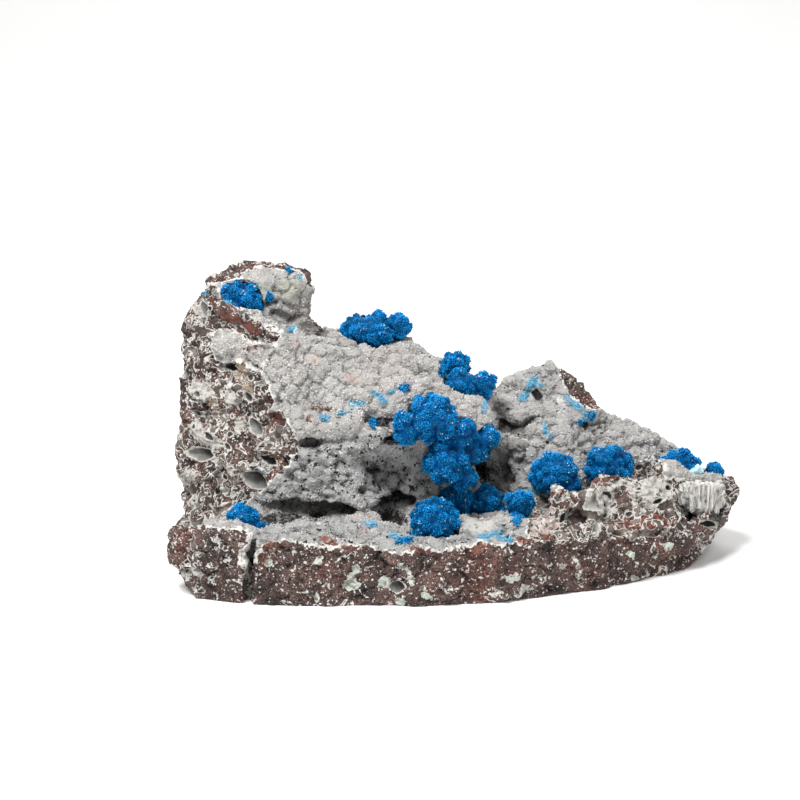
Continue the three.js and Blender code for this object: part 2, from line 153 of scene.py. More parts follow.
@dataclass(frozen=True)
class PhotoCamera:
    """The camera of the reference view: a long lens, a little above the specimen."""

    elevation: float = math.radians(14)
    lens: float = 100.0
    sensor: float = 36.0
    distance: float = 620.0
    target: tuple[float, float, float] = (-16.757, -1.428, 46.1)
    pixels: int = 800

    @property
    def back(self) -> np.ndarray:
        """Gives the unit vector from the target towards the camera."""
        return np.array([0, -math.cos(self.elevation), math.sin(self.elevation)])

    @property
    def up(self) -> np.ndarray:
        """Gives the camera's unit up vector."""
        return np.array([0, math.sin(self.elevation), math.cos(self.elevation)])

    @property
    def focal(self) -> float:
        """Gives the focal length in pixels."""
        return self.pixels * self.lens / self.sensor

    @property
    def scale(self) -> float:
        """Gives the millimetres that one pixel covers at the target."""
        return self.distance / self.focal

    def project(self, points: np.ndarray) -> np.ndarray:
        """Finds the pixels at which points show.

        Args:
            points: places in millimetres, one row each.

        Returns:
            Their pixel coordinates, one row each.
        """
        rel = points - np.array(self.target)
        depth = self.distance - rel @ self.back
        across = self.pixels / 2 + self.focal * rel[:, 0] / depth
        down = self.pixels / 2 - self.focal * (rel @ self.up) / depth
        return np.stack([across, down], axis=1)

    def cast(self, tree: BVHTree, pixel: tuple[float, float]) -> np.ndarray | None:
        """Finds the surface point behind a pixel.

        Args:
            tree: the surface, in millimetres.
            pixel: the pixel.

        Returns:
            The point in millimetres, or None where the pixel shows none of the surface.
        """
        eye = np.array(self.target) + self.back * self.distance
        way = (
            np.array([(pixel[0] - self.pixels / 2) / self.focal, 0, 0])
            + self.up * (self.pixels / 2 - pixel[1]) / self.focal
            - self.back
        )
        hit = tree.ray_cast(Vector(eye), Vector(way).normalized())
        return None if hit[0] is None else np.array(hit[0])

    def make(self) -> bpy.types.Object:
        """Creates the camera and makes it the scene's.

        Returns:
            The camera object.
        """
        data = bpy.data.cameras.new("photo_camera")
        data.lens = self.lens
        data.sensor_width = self.sensor
        data.clip_start = 0.01
        data.clip_end = 20
        camera = bpy.data.objects.new("photo_camera", data)
        camera.location = Vector((np.array(self.target) + self.back * self.distance) * MM)
        camera.rotation_euler = Vector(-self.back).to_track_quat("-Z", "Y").to_euler()
        bpy.context.scene.collection.objects.link(camera)
        bpy.context.scene.camera = camera
        return camera


class Grain:
    """Seeded patterns in space, worked out for many points at once."""

    PRIMES = (374761393, 668265263, 2246822519)

    def __init__(self, seed: int) -> None:
        """Keeps the seed that makes this pattern differ from others."""
        self.seed = seed

    def scatter(self, cells: np.ndarray, salt: int) -> np.ndarray:
        """Gives each lattice cell a number that looks random.

        Args:
            cells: whole coordinates, one row each.
            salt: tells apart several numbers of one cell.

        Returns:
            Numbers from 0 to 1.
        """
        mixed = np.full(len(cells), (self.seed * 9781 + salt * 6151) & 0xFFFFFFFF, np.uint64)
        for axis, prime in enumerate(self.PRIMES):
            mixed += (cells[:, axis].astype(np.int64) + 4096).astype(np.uint64) * np.uint64(prime)
        for shift, prime in ((15, 2246822519), (13, 3266489917), (16, 668265263)):
            mixed &= np.uint64(0xFFFFFFFF)
            mixed ^= mixed >> np.uint64(shift)
            mixed *= np.uint64(prime)
        return ((mixed & np.uint64(0xFFFFFFFF)) ^ (mixed >> np.uint64(40))).astype(float) / 2**32

    def smooth(self, points: np.ndarray, size: float, octaves: int = 1) -> np.ndarray:
        """Gives soft noise.

        Args:
            points: places, one row each.
            size: the size of its coarsest lumps.
            octaves: how many finer layers are added, each half as strong.

        Returns:
            Values from about -1 to 1.
        """
        total = np.zeros(len(points))
        weight = 1.0
        for octave in range(octaves):
            scaled = points / size * 2**octave + 0.37 * octave
            cell = np.floor(scaled)
            part = scaled - cell
            ease = part * part * (3 - 2 * part)
            value = np.zeros(len(points))
            for corner in np.ndindex(2, 2, 2):
                share = np.prod(np.where(np.array(corner) == 1, ease, 1 - ease), axis=1)
                value += share * self.scatter(cell + np.array(corner), octave)
            total += (2 * value - 1) * weight
            weight /= 2
        return total / (2 - 2 * weight)

    def cells(self, points: np.ndarray, size: float) -> tuple[np.ndarray, np.ndarray, np.ndarray]:
        """Divides space into irregular cells round scattered seeds.

        Args:
            points: places, one row each.
            size: the usual distance between two seeds.

        Returns:
            The distances to the nearest seed and to the next one, in cell sizes, and a number
            from 0 to 1 that belongs to the nearest.
        """
        scaled = points / size
        cell = np.floor(scaled)
        nearest = np.full(len(points), 9.0)
        second = np.full(len(points), 9.0)
        label = np.zeros(len(points))
        for offset in np.ndindex(3, 3, 3):
            there = cell + np.array(offset) - 1
            seed = there + np.stack([self.scatter(there, 20 + axis) for axis in range(3)], axis=1)
            far = np.linalg.norm(scaled - seed, axis=1)
            closer = far < nearest
            second = np.where(closer, nearest, np.minimum(second, far))
            label = np.where(closer, self.scatter(there, 30), label)
            nearest = np.where(closer, far, nearest)
        return nearest, second, label


def points_of(mesh: bpy.types.Mesh) -> np.ndarray:
    """Reads a mesh's vertices in millimetres, one row each.

    Args:
        mesh: the mesh.

    Returns:
        The places.
    """
    values = np.empty(len(mesh.vertices) * 3)
    mesh.vertices.foreach_get("co", values)
    return values.reshape(-1, 3) / MM


def normals_of(mesh: bpy.types.Mesh) -> np.ndarray:
    """Reads a mesh's vertex normals, one row each.

    Args:
        mesh: the mesh.

    Returns:
        The normals.
    """
    values = np.empty(len(mesh.vertices) * 3)
    mesh.vertex_normals.foreach_get("vector", values)
    return values.reshape(-1, 3)


def triangles_of(mesh: bpy.types.Mesh) -> np.ndarray:
    """Reads a mesh's triangles as vertex numbers, one row each.

    Args:
        mesh: the mesh.

    Returns:
        The triangles.
    """
    mesh.calc_loop_triangles()
    values = np.empty(len(mesh.loop_triangles) * 3, np.int32)
    mesh.loop_triangles.foreach_get("vertices", values)
    return values.reshape(-1, 3)


def set_points(mesh: bpy.types.Mesh, points: np.ndarray) -> None:
    """Moves a mesh's vertices to places given in millimetres, kept inside the CAD model's box.

    Args:
        mesh: the mesh.
        points: the new places, one row a vertex.
    """
    low = np.array(CAD_BOX[0]) / MM
    high = np.array(CAD_BOX[1]) / MM
    mesh.vertices.foreach_set("co", (np.clip(points, low, high) * MM).ravel())
    mesh.update()


def paint(mesh: bpy.types.Mesh, name: str, values: np.ndarray) -> None:
    """Stores a number or a colour at each vertex, for the materials to read.

    Args:
        mesh: the mesh.
        name: the attribute's name.
        values: one number, or four, for each vertex.
    """
    coloured = values.ndim == 2
    made = mesh.attributes.new(name, "FLOAT_COLOR" if coloured else "FLOAT", "POINT")
    made.data.foreach_set("color" if coloured else "value", values.astype(np.float32).ravel())


def make_mesh(name: str, points: np.ndarray, triangles: np.ndarray) -> bpy.types.Mesh:
    """Makes a mesh from triangles.

    Args:
        name: its name.
        points: vertices in millimetres.
        triangles: vertex numbers, one row each.

    Returns:
        The mesh.
    """
    mesh = bpy.data.meshes.new(name)
    mesh.vertices.add(len(points))
    mesh.loops.add(len(triangles) * 3)
    mesh.polygons.add(len(triangles))
    mesh.loops.foreach_set("vertex_index", triangles.astype(np.int32).ravel())
    mesh.polygons.foreach_set("loop_start", np.arange(len(triangles), dtype=np.int32) * 3)
    mesh.update(calc_edges=True)
    set_points(mesh, points)
    return mesh


def add_piece(
    name: str, mesh: bpy.types.Mesh, material: bpy.types.Material, nodes: tuple[str, ...] = ()
) -> bpy.types.Object:
    """Puts a mesh into the scene as a piece of the specimen.

    Args:
        name: the piece's name.
        mesh: its mesh.
        material: its finish.
        nodes: the CAD nodes that it stands for.

    Returns:
        The object.
    """
    piece = bpy.data.objects.new(name, mesh)
    bpy.context.scene.collection.objects.link(piece)
    mesh.materials.clear()
    mesh.materials.append(material)
    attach(piece, "root")
    if nodes:
        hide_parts(*nodes)
    LOG.info("%s: %d triangles", name, sum(len(p.vertices) - 2 for p in mesh.polygons))
    return piece


def remeshed(mesh: bpy.types.Mesh, voxel: float, smoothing: int = 0, keep: float = 1.0) -> bpy.types.Mesh:
    """Gives a finer, even copy of a mesh.

    Args:
        mesh: the mesh, in metres.
        voxel: the new spacing in millimetres.
        smoothing: how often the copy is smoothed.
        keep: the share of its faces that stays. The ones that go are where the photograph
            doesn't look: on the underside and the back.

    Returns:
        The copy.
    """
    scratch = bpy.data.objects.new("scratch", mesh.copy())
    bpy.context.scene.collection.objects.link(scratch)
    voxels = scratch.modifiers.new("voxels", "REMESH")
    voxels.mode = "VOXEL"
    voxels.voxel_size = voxel * MM
    if smoothing:
        soften = scratch.modifiers.new("soften", "SMOOTH")
        soften.iterations = smoothing
    depsgraph = bpy.context.evaluated_depsgraph_get()
    scratch.data = bpy.data.meshes.new_from_object(scratch.evaluated_get(depsgraph))
    scratch.modifiers.clear()
    if keep < 1:
        facing = normals_of(scratch.data) @ np.array(TOWARDS_PHOTO)
        hidden = scratch.vertex_groups.new(name="hidden")
        hidden.add([int(v) for v in np.flatnonzero(facing < -0.15)], 1.0, "REPLACE")
        thin = scratch.modifiers.new("thin", "DECIMATE")
        thin.ratio = keep
        thin.vertex_group = "hidden"
        thin.vertex_group_factor = 20
        depsgraph = bpy.context.evaluated_depsgraph_get()
        scratch.data = bpy.data.meshes.new_from_object(scratch.evaluated_get(depsgraph))
    made = scratch.data
    bpy.data.objects.remove(scratch)
    return made


def tree_of(mesh: bpy.types.Mesh) -> BVHTree:
    """Gives a search tree over a mesh's triangles, in millimetres."""
    return BVHTree.FromPolygons(points_of(mesh).tolist(), triangles_of(mesh).tolist())


def inside_distance(places: np.ndarray, outline: Pixels) -> np.ndarray:
    """Measures how far places in the picture lie inside an outline.

    Args:
        places: pixel coordinates, one row each.
        outline: the corners, in order.

    Returns:
        Distances in pixels, negative outside.
    """
    nearest = np.full(len(places), 1e9)
    inside = np.zeros(len(places), bool)
    for start, end in zip(outline, outline[1:] + outline[:1]):
        a = np.array(start, float)
        b = np.array(end, float)
        along = np.clip((places - a) @ (b - a) / max((b - a) @ (b - a), 1e-9), 0, 1)
        nearest = np.minimum(nearest, np.linalg.norm(places - a - along[:, None] * (b - a), axis=1))
        crosses = (places[:, 1] < a[1]) != (places[:, 1] < b[1])
        slope = (b[0] - a[0]) / ((b[1] - a[1]) or 1e-9)
        inside ^= crosses & (places[:, 0] < a[0] + slope * (places[:, 1] - a[1]))
    return np.where(inside, nearest, -nearest)


@dataclass(frozen=True)
class Region:
    """An area of the surface by its outline in the picture, and the depths that it covers."""

    outline: Pixels
    near: float = -60.0
    far: float = 24.0

    def distance(self, pixels: np.ndarray, depth: np.ndarray, scale: float) -> np.ndarray:
        """Measures how far points lie inside the region, in millimetres, negative outside."""
        flat = inside_distance(pixels, self.outline) * scale
        return np.minimum(flat, np.minimum(depth - self.near, self.far - depth))


@dataclass(frozen=True)
class Stain:
    """A patch of another colour, given by its outline in the picture."""

    tone: Tone
    outline: Pixels


@dataclass(frozen=True)
class Blot:
    """A round or oval patch of another colour, in pixels: its middle, half sizes and tilt."""

    tone: Tone
    middle: tuple[float, float]
    half: tuple[float, float]
    tilt: float = 0.0


@dataclass(frozen=True)
class Vesicle:
    """A gas hole in the rock, in pixels: its middle, half sizes, tilt, depth in mm, and the tone of its wall
    with painted shade.
    """

    middle: tuple[float, float]
    half: tuple[float, float]
    tilt: float = 0.0
    depth: float = 1.5
    lining_and_shade: float = 0.5


@dataclass(frozen=True)
class Dent:
    """A local hollow of the stone, in pixels and mm. A negative depth makes a swelling."""

    middle: tuple[float, float]
    half: tuple[float, float]
    tilt: float
    depth: float


@dataclass(frozen=True)
class Crack:
    """A dark crevice along a line of pixels, with its half width and depth in mm."""

    path: Pixels
    half_width: float
    depth: float


def line_distance(pixels: np.ndarray, path: Pixels) -> np.ndarray:
    """Measures how far places in the picture lie from a line, in pixels.

    Args:
        pixels: the places.
        path: the line's points.

    Returns:
        The distances.
    """
    nearest = np.full(len(pixels), 1e9)
    for start, end in zip(path, path[1:]):
        a = np.array(start, float)
        b = np.array(end, float)
        along = np.clip((pixels - a) @ (b - a) / ((b - a) @ (b - a)), 0, 1)
        nearest = np.minimum(nearest, np.linalg.norm(pixels - a - along[:, None] * (b - a), axis=1))
    return nearest


def oval_distance(
    pixels: np.ndarray,
    middle: tuple[float, float],
    half: tuple[float, float],
    tilt: float,
    power: float = 2.0,
) -> np.ndarray:
    """Measures how far places in the picture lie inside an oval.

    Args:
        pixels: pixel coordinates, one row each.
        middle: the oval's middle.
        half: half its size along and across its tilted axis.
        tilt: degrees that the axis turns clockwise in the picture.
        power: 2 for an oval; less for an almond with pointed ends.

    Returns:
        Distances in pixels, negative outside.
    """
    turn = math.radians(tilt)
    rel = pixels - np.array(middle)
    along = np.abs(rel @ np.array([math.cos(turn), math.sin(turn)])) / half[0]
    across = np.abs(rel @ np.array([-math.sin(turn), math.cos(turn)])) / half[1]
    return (1 - (along**power + across**power) ** (1 / power)) * min(half)


def open_sky(mesh: bpy.types.Mesh, reach: float = 9.0, rays: int = 12, lift: float = 0.2) -> np.ndarray:
    """Measures how open the surface is round each vertex, for the painted shade that darkens hollows.

    Args:
        mesh: the mesh.
        reach: how far away, in millimetres, a wall still shades.
        rays: how many directions are tried.
        lift: how far above the surface they start, in millimetres.

    Returns:
        For each vertex, 1 where nothing stands near it and 0 deep inside a crevice.
    """
    tree = tree_of(mesh)
    points = points_of(mesh)
    normals = normals_of(mesh)
    spread = even_directions(2 * rays)[:rays] * np.array([0.92, 0.92, 1.0])
    spread /= np.linalg.norm(spread, axis=1)[:, None]
    spins = np.random.default_rng(7).random(len(points)) * 2 * math.pi
    frames = frames_of(normals, spins)
    starts = points + normals * lift
    total = np.zeros(len(points))
    for direction in spread:
        ways = np.einsum("c,ncd->nd", direction, frames)
        for number, (start, way) in enumerate(zip(starts.tolist(), ways.tolist())):
            far = tree.ray_cast(start, way, reach)[3]
            total[number] += 1.0 if far is None else 0.35 * far / reach
    share = total / rays
    edges = np.empty(len(mesh.edges) * 2, np.int32)
    mesh.edges.foreach_get("vertices", edges)
    pairs = edges.reshape(-1, 2)
    for _ in range(2):
        summed = share.copy()
        count = np.ones(len(points))
        for one, two in (pairs.T, pairs[:, ::-1].T):
            np.add.at(summed, one, share[two])
            np.add.at(count, one, 1)
        share = summed / count
    return share


@dataclass(frozen=True)
class BasaltAndDruse:
    """Broken vesicular basalt, weathered, with a druse of zeolite crystals grown on it.

    The rock is matt and speckled, purplish brown with rusty seams. Its gas holes are rimmed with a
    thin cream crust that reads as a net of pale loops. The druse is a sugary grey with near-black
    pores painted as painted shade, and where it is broken a thin white line parts it from the rock.
    Hollows, crevices and the insides of the larger holes are darkened as painted shade.
    """

    name: str = "basalt_with_zeolite_druse"
    warp_size: float = 2.2
    warp_depth: float = 1.3
    mottle: float = 5.0
    seam: float = 11.0
    grit: float = 0.5
    speck: float = 1.3
    fine_speck: float = 0.65
    hole: float = 4.6
    small_hole: float = 2.2
    line: float = 0.25
    roughness: float = 0.86
    ior: float = 1.5

    def make(self) -> bpy.types.Material:
        """Builds the material.

        Returns:
            The material.
        """
        material = bpy.data.materials.new(self.name)
        material.use_nodes = True
        tree = material.node_tree
        shader = tree.nodes["Principled BSDF"]
        place = add_node(tree, "TexCoord", {}, "Object")
        push = add_node(
            tree, "TexNoise", {"Vector": place, "Scale": per_metre(self.warp_size), "Detail": 2.0}, "Color"
        )
        centred = add_node(tree, "VectorMath", {0: push, 1: (0.5, 0.5, 0.5)}, operation="SUBTRACT")
        offset = add_node(tree, "VectorMath", {0: centred, "Scale": self.warp_depth * MM}, operation="SCALE")
        warped = add_node(tree, "VectorMath", {0: place, 1: offset}, operation="ADD")
        rock = self.rock(tree, place, warped)
        druse = self.druse(tree, place)
        edge = self.edge(tree, warped)
        covered = self.above(tree, edge, 0.0)
        mixed = add_node(tree, "Mix", {0: covered, 6: rock, 7: druse}, 2, data_type="RGBA")
        stained = self.stains_and_shadows(tree, warped, mixed)
        network = add_node(tree, "Attribute", {}, "Fac", attribute_name="network")
        fine = self.contours(tree, place, self.small_hole, network, 0.53, stained)
        netted = self.contours(tree, place, self.hole, network, 0.45, fine)
        crusted = self.crust_line(tree, place, edge, netted)
        holed = self.vesicles(tree, crusted)
        # Painted shade: the colour is multiplied darker where open_sky is low, deep in crevices and hollows.
        sky = add_node(tree, "Attribute", {}, "Fac", attribute_name="open_sky")
        shade = add_node(tree, "MapRange", {0: sky, 1: 0.15, 2: 0.78, 3: 0.2, 4: 1.0})
        shaded = {0: 1.0, 6: holed, 7: self.grey(tree, shade)}
        final = add_node(tree, "Mix", shaded, 2, data_type="RGBA", blend_type="MULTIPLY")
        tree.links.new(final, shader.inputs["Base Color"])
        shader.inputs["Roughness"].default_value = self.roughness
        shader.inputs["IOR"].default_value = self.ior
        grains = add_node(
            tree, "TexNoise", {"Vector": place, "Scale": per_metre(self.grit), "Detail": 3.0}, "Fac"
        )
        bumped = add_node(tree, "Bump", {"Height": grains, "Strength": 1.0, "Distance": 0.5 * MM}, "Normal")
        tree.links.new(bumped, shader.inputs["Normal"])
        return material

    def grey(self, tree: NodeTree, value: Socket) -> Socket:
        """Turns a number into a grey colour."""
        return add_node(tree, "CombineColor", {0: value, 1: value, 2: value})

    def above(self, tree: NodeTree, value: Socket, level: float, width: float = 0.12) -> Socket:
        """Gives 1 where a number is above a level and 0 below, with a short soft edge."""
        return add_node(tree, "MapRange", {0: value, 1: level - width, 2: level + width, 3: 0.0, 4: 1.0})

    def edge(self, tree: NodeTree, warped: Socket) -> Socket:
        """Gives the distance to the broken edge of the druse, made ragged.

        Args:
            tree: the material's node tree.
            warped: the coordinates, bent.

        Returns:
            The distance, positive on the druse.
        """
        crust = add_node(tree, "Attribute", {}, "Fac", attribute_name="crust")
        ragged = add_node(tree, "TexNoise", {"Vector": warped, "Scale": per_metre(1.6), "Detail": 3.0}, "Fac")
        wander = add_node(tree, "MapRange", {0: ragged, 1: 0.0, 2: 1.0, 3: -1.6, 4: 1.6})
        return add_node(tree, "Math", {0: crust, 1: wander}, operation="ADD")

    def crust_line(self, tree: NodeTree, place: Socket, edge: Socket, under: Socket) -> Socket:
        """Draws the thin white section of the crust along its broken edge, with gaps.

        Args:
            tree: the material's node tree.
            place: the coordinates.
            edge: the distance to the edge.
            under: the colour beneath.

        Returns:
            The colour with the line.
        """
        near = add_node(tree, "Math", {0: edge}, operation="ABSOLUTE")
        line = add_node(tree, "MapRange", {0: near, 1: self.line, 2: self.line + 0.14, 3: 1.0, 4: 0.0})
        gaps = add_node(tree, "TexNoise", {"Vector": place, "Scale": per_metre(2.6), "Detail": 3.0}, "Fac")
        kept = self.above(tree, gaps, 0.42, 0.05)
        broken = add_node(tree, "Math", {0: line, 1: kept}, operation="MULTIPLY")
        return add_node(tree, "Mix", {0: broken, 6: under, 7: linear(Tone.WHITE_CRUST)}, 2, data_type="RGBA")

    def rock(self, tree: NodeTree, place: Socket, warped: Socket) -> Socket:
        """Paints the bare basalt: mottled brown, rusty seams, white specks and pale loops.

        Args:
            tree: the material's node tree.
            place: the coordinates.
            warped: the same, bent.

        Returns:
            The colour of the rock.
        """
        mottle = add_node(
            tree, "TexNoise", {"Vector": place, "Scale": per_metre(self.mottle), "Detail": 5.0}, "Fac"
        )
        share = add_node(tree, "MapRange", {0: mottle, 1: 0.35, 2: 0.66, 3: 0.0, 4: 1.0})
        brown = add_node(
            tree, "Mix", {0: share, 6: linear(Tone.BASALT_DARK), 7: linear(Tone.BASALT)}, 2, data_type="RGBA"
        )
        seam = add_node(
            tree, "TexNoise", {"Vector": warped, "Scale": per_metre(self.seam), "Detail": 4.0}, "Fac"
        )
        rusty = add_node(tree, "MapRange", {0: seam, 1: 0.52, 2: 0.68, 3: 0.0, 4: 0.42})
        tinted = add_node(tree, "Mix", {0: rusty, 6: brown, 7: linear(Tone.RUST)}, 2, data_type="RGBA")
        grit = add_node(
            tree, "TexNoise", {"Vector": place, "Scale": per_metre(self.grit), "Detail": 2.0}, "Fac"
        )
        gritty = add_node(tree, "MapRange", {0: grit, 1: 0.32, 2: 0.68, 3: 0.22, 4: 1.78})
        darkened = {0: 1.0, 6: tinted, 7: self.grey(tree, gritty)}
        rough = add_node(tree, "Mix", darkened, 2, data_type="RGBA", blend_type="MULTIPLY")
        coarse = self.specks(tree, place, warped, self.speck, rough)
        return self.specks(tree, place, warped, self.fine_speck, coarse)

    def specks(
        self, tree: NodeTree, place: Socket, warped: Socket, size: float, under: Socket
    ) -> Socket:
        """Scatters small white mineral specks over the rock.

        Args:
            tree: the material's node tree.
            place: the coordinates.
            warped: the same, bent, so that no speck is round.
            size: the usual distance between two specks, in millimetres.
            under: the colour beneath.

        Returns:
            The colour with the specks.
        """
        seeds = add_node(tree, "TexVoronoi", {"Vector": warped, "Scale": per_metre(size)}, "Distance")
        patch = add_node(
            tree, "TexNoise", {"Vector": place, "Scale": per_metre(size * 1.7), "Detail": 2.0}, "Fac"
        )
        reach = add_node(tree, "MapRange", {0: patch, 1: 0.42, 2: 0.69, 3: 0.0, 4: 0.48})
        inner = add_node(tree, "Math", {0: reach, 1: seeds}, operation="SUBTRACT")
        white = self.above(tree, inner, 0.03, 0.05)
        return add_node(tree, "Mix", {0: white, 6: under, 7: linear(Tone.CREAM)}, 2, data_type="RGBA")

    def contours(
        self, tree: NodeTree, place: Socket, size: float, network: Socket, lowest: float, under: Socket
    ) -> Socket:
        """Draws small gas holes of no regular shape: a grey or dark inside and a thin pale rim.

        Args:
            tree: the material's node tree.
            place: the coordinates.
            size: the usual distance between two holes, in millimetres.
            network: the share of places that has a hole.
            lowest: the noise level that opens a hole where the share is whole.
            under: the colour beneath.

        Returns:
            The colour with the holes.
        """
        field_inputs = {"Vector": place, "Scale": per_metre(size), "Detail": 2.5, "Distortion": 0.9}
        height = add_node(tree, "TexNoise", field_inputs, "Fac")
        level = add_node(tree, "MapRange", {0: network, 1: 0.0, 2: 1.0, 3: 0.74, 4: lowest})
        inner = add_node(tree, "Math", {0: height, 1: level}, operation="SUBTRACT")
        rim = add_node(tree, "Math", {0: inner}, operation="ABSOLUTE")
        on_rim = add_node(tree, "MapRange", {0: rim, 1: 0.013, 2: 0.026, 3: 1.0, 4: 0.0})
        kind = add_node(
            tree, "TexNoise", {"Vector": place, "Scale": per_metre(size * 1.4), "Detail": 3.0}, "Fac"
        )
        tone = add_node(
            tree, "Mix", {0: self.above(tree, kind, 0.5, 0.12), 6: linear(Tone.HOLE), 7: linear(Tone.ASH)},
            2, data_type="RGBA",
        )
        inside = self.above(tree, inner, 0.0, 0.01)
        filled = add_node(tree, "Mix", {0: inside, 6: under, 7: tone}, 2, data_type="RGBA")
        return add_node(tree, "Mix", {0: on_rim, 6: filled, 7: linear(Tone.CREAM)}, 2, data_type="RGBA")

    def druse(self, tree: NodeTree, place: Socket) -> Socket:
        """Paints the grey crust between its crystals: cloudy, with near-black pores as painted shade.

        Args:
            tree: the material's node tree.
            place: the coordinates.

        Returns:
            The colour of the crust.
        """
        cloud = add_node(tree, "TexNoise", {"Vector": place, "Scale": per_metre(3.4), "Detail": 5.0}, "Fac")
        share = add_node(tree, "MapRange", {0: cloud, 1: 0.3, 2: 0.68, 3: 0.0, 4: 1.0})
        grey = add_node(
            tree, "Mix", {0: share, 6: linear(Tone.DRUSE_SHADE), 7: linear(Tone.DRUSE)}, 2, data_type="RGBA"
        )
        warm = add_node(tree, "TexNoise", {"Vector": place, "Scale": per_metre(14), "Detail": 3.0}, "Fac")
        pink = add_node(tree, "MapRange", {0: warm, 1: 0.46, 2: 0.66, 3: 0.0, 4: 0.45})
        tinted = add_node(tree, "Mix", {0: pink, 6: grey, 7: linear(Tone.DRUSE_PINK)}, 2, data_type="RGBA")
        pore_field = {"Vector": place, "Scale": per_metre(2.0), "Detail": 3.0, "Distortion": 0.6}
        pores = add_node(tree, "TexNoise", pore_field, "Fac")
        porous = add_node(tree, "Attribute", {}, "Fac", attribute_name="porous")
        cool = add_node(tree, "Mix", {0: porous, 6: tinted, 7: linear(Tone.DRUSE_COOL)}, 2, data_type="RGBA")
        level = add_node(tree, "MapRange", {0: porous, 1: 0.0, 2: 1.0, 3: 0.74, 4: 0.6})
        inner = add_node(tree, "Math", {0: pores, 1: level}, operation="SUBTRACT")
        # Painted shade: the pores are flat near-black spots, not dug into the surface.
        dark = self.above(tree, inner, 0.0, 0.015)
        return add_node(tree, "Mix", {0: dark, 6: cool, 7: linear(Tone.CREVICE)}, 2, data_type="RGBA")

    def stains_and_shadows(self, tree: NodeTree, warped: Socket, under: Socket) -> Socket:
        """Lays the patches of other colours over the surface, real colour patches and painted shadows alike,
        with ragged edges.

        Args:
            tree: the material's node tree.
            warped: the coordinates, bent.
            under: the colour beneath.

        Returns:
            The colour with the patches.
        """
        tone = add_node(tree, "Attribute", {}, "Color", attribute_name="stain_and_shadow")
        reach = add_node(tree, "Attribute", {}, "Fac", attribute_name="stain_and_shadow_edge")
        ragged = add_node(tree, "TexNoise", {"Vector": warped, "Scale": per_metre(0.9), "Detail": 4.0}, "Fac")
        wander = add_node(tree, "MapRange", {0: ragged, 1: 0.2, 2: 0.8, 3: -1.5, 4: 1.1})
        edge = add_node(tree, "Math", {0: reach, 1: wander}, operation="ADD")
        cloud = add_node(tree, "TexNoise", {"Vector": warped, "Scale": per_metre(1.5), "Detail": 4.0}, "Fac")
        wear_and_painted_shade = add_node(tree, "MapRange", {0: cloud, 1: 0.36, 2: 0.5, 3: 0.35, 4: 1.0})
        laid = add_node(tree, "Math", {0: self.above(tree, edge, 0.0), 1: wear_and_painted_shade}, operation="MULTIPLY")
        return add_node(tree, "Mix", {0: laid, 6: under, 7: tone}, 2, data_type="RGBA")

    def vesicles(self, tree: NodeTree, under: Socket) -> Socket:
        """Lines the larger gas holes from near-black to grey, as wall tone and painted shade, and rims them
        with cream crust.

        Args:
            tree: the material's node tree.
            under: the colour beneath.

        Returns:
            The colour with the holes.
        """
        reach = add_node(tree, "Attribute", {}, "Fac", attribute_name="vesicle")
        lining_and_shade = add_node(tree, "Attribute", {}, "Fac", attribute_name="lining_and_shade")
        # Painted shade: the wall runs from near-black to grey by the painted value, darkest in the deep,
        # shaded holes.
        wall = add_node(
            tree, "Mix", {0: lining_and_shade, 6: linear(Tone.CREVICE), 7: linear(Tone.GREY)}, 2, data_type="RGBA"
        )
        inside = self.above(tree, reach, 0.0)
        lined = add_node(tree, "Mix", {0: inside, 6: under, 7: wall}, 2, data_type="RGBA")
        rim = add_node(tree, "Math", {0: reach}, operation="ABSOLUTE")
        on_rim = add_node(tree, "MapRange", {0: rim, 1: 0.1, 2: 0.24, 3: 0.85, 4: 0.0})
        return add_node(tree, "Mix", {0: on_rim, 6: lined, 7: linear(Tone.CREAM)}, 2, data_type="RGBA")


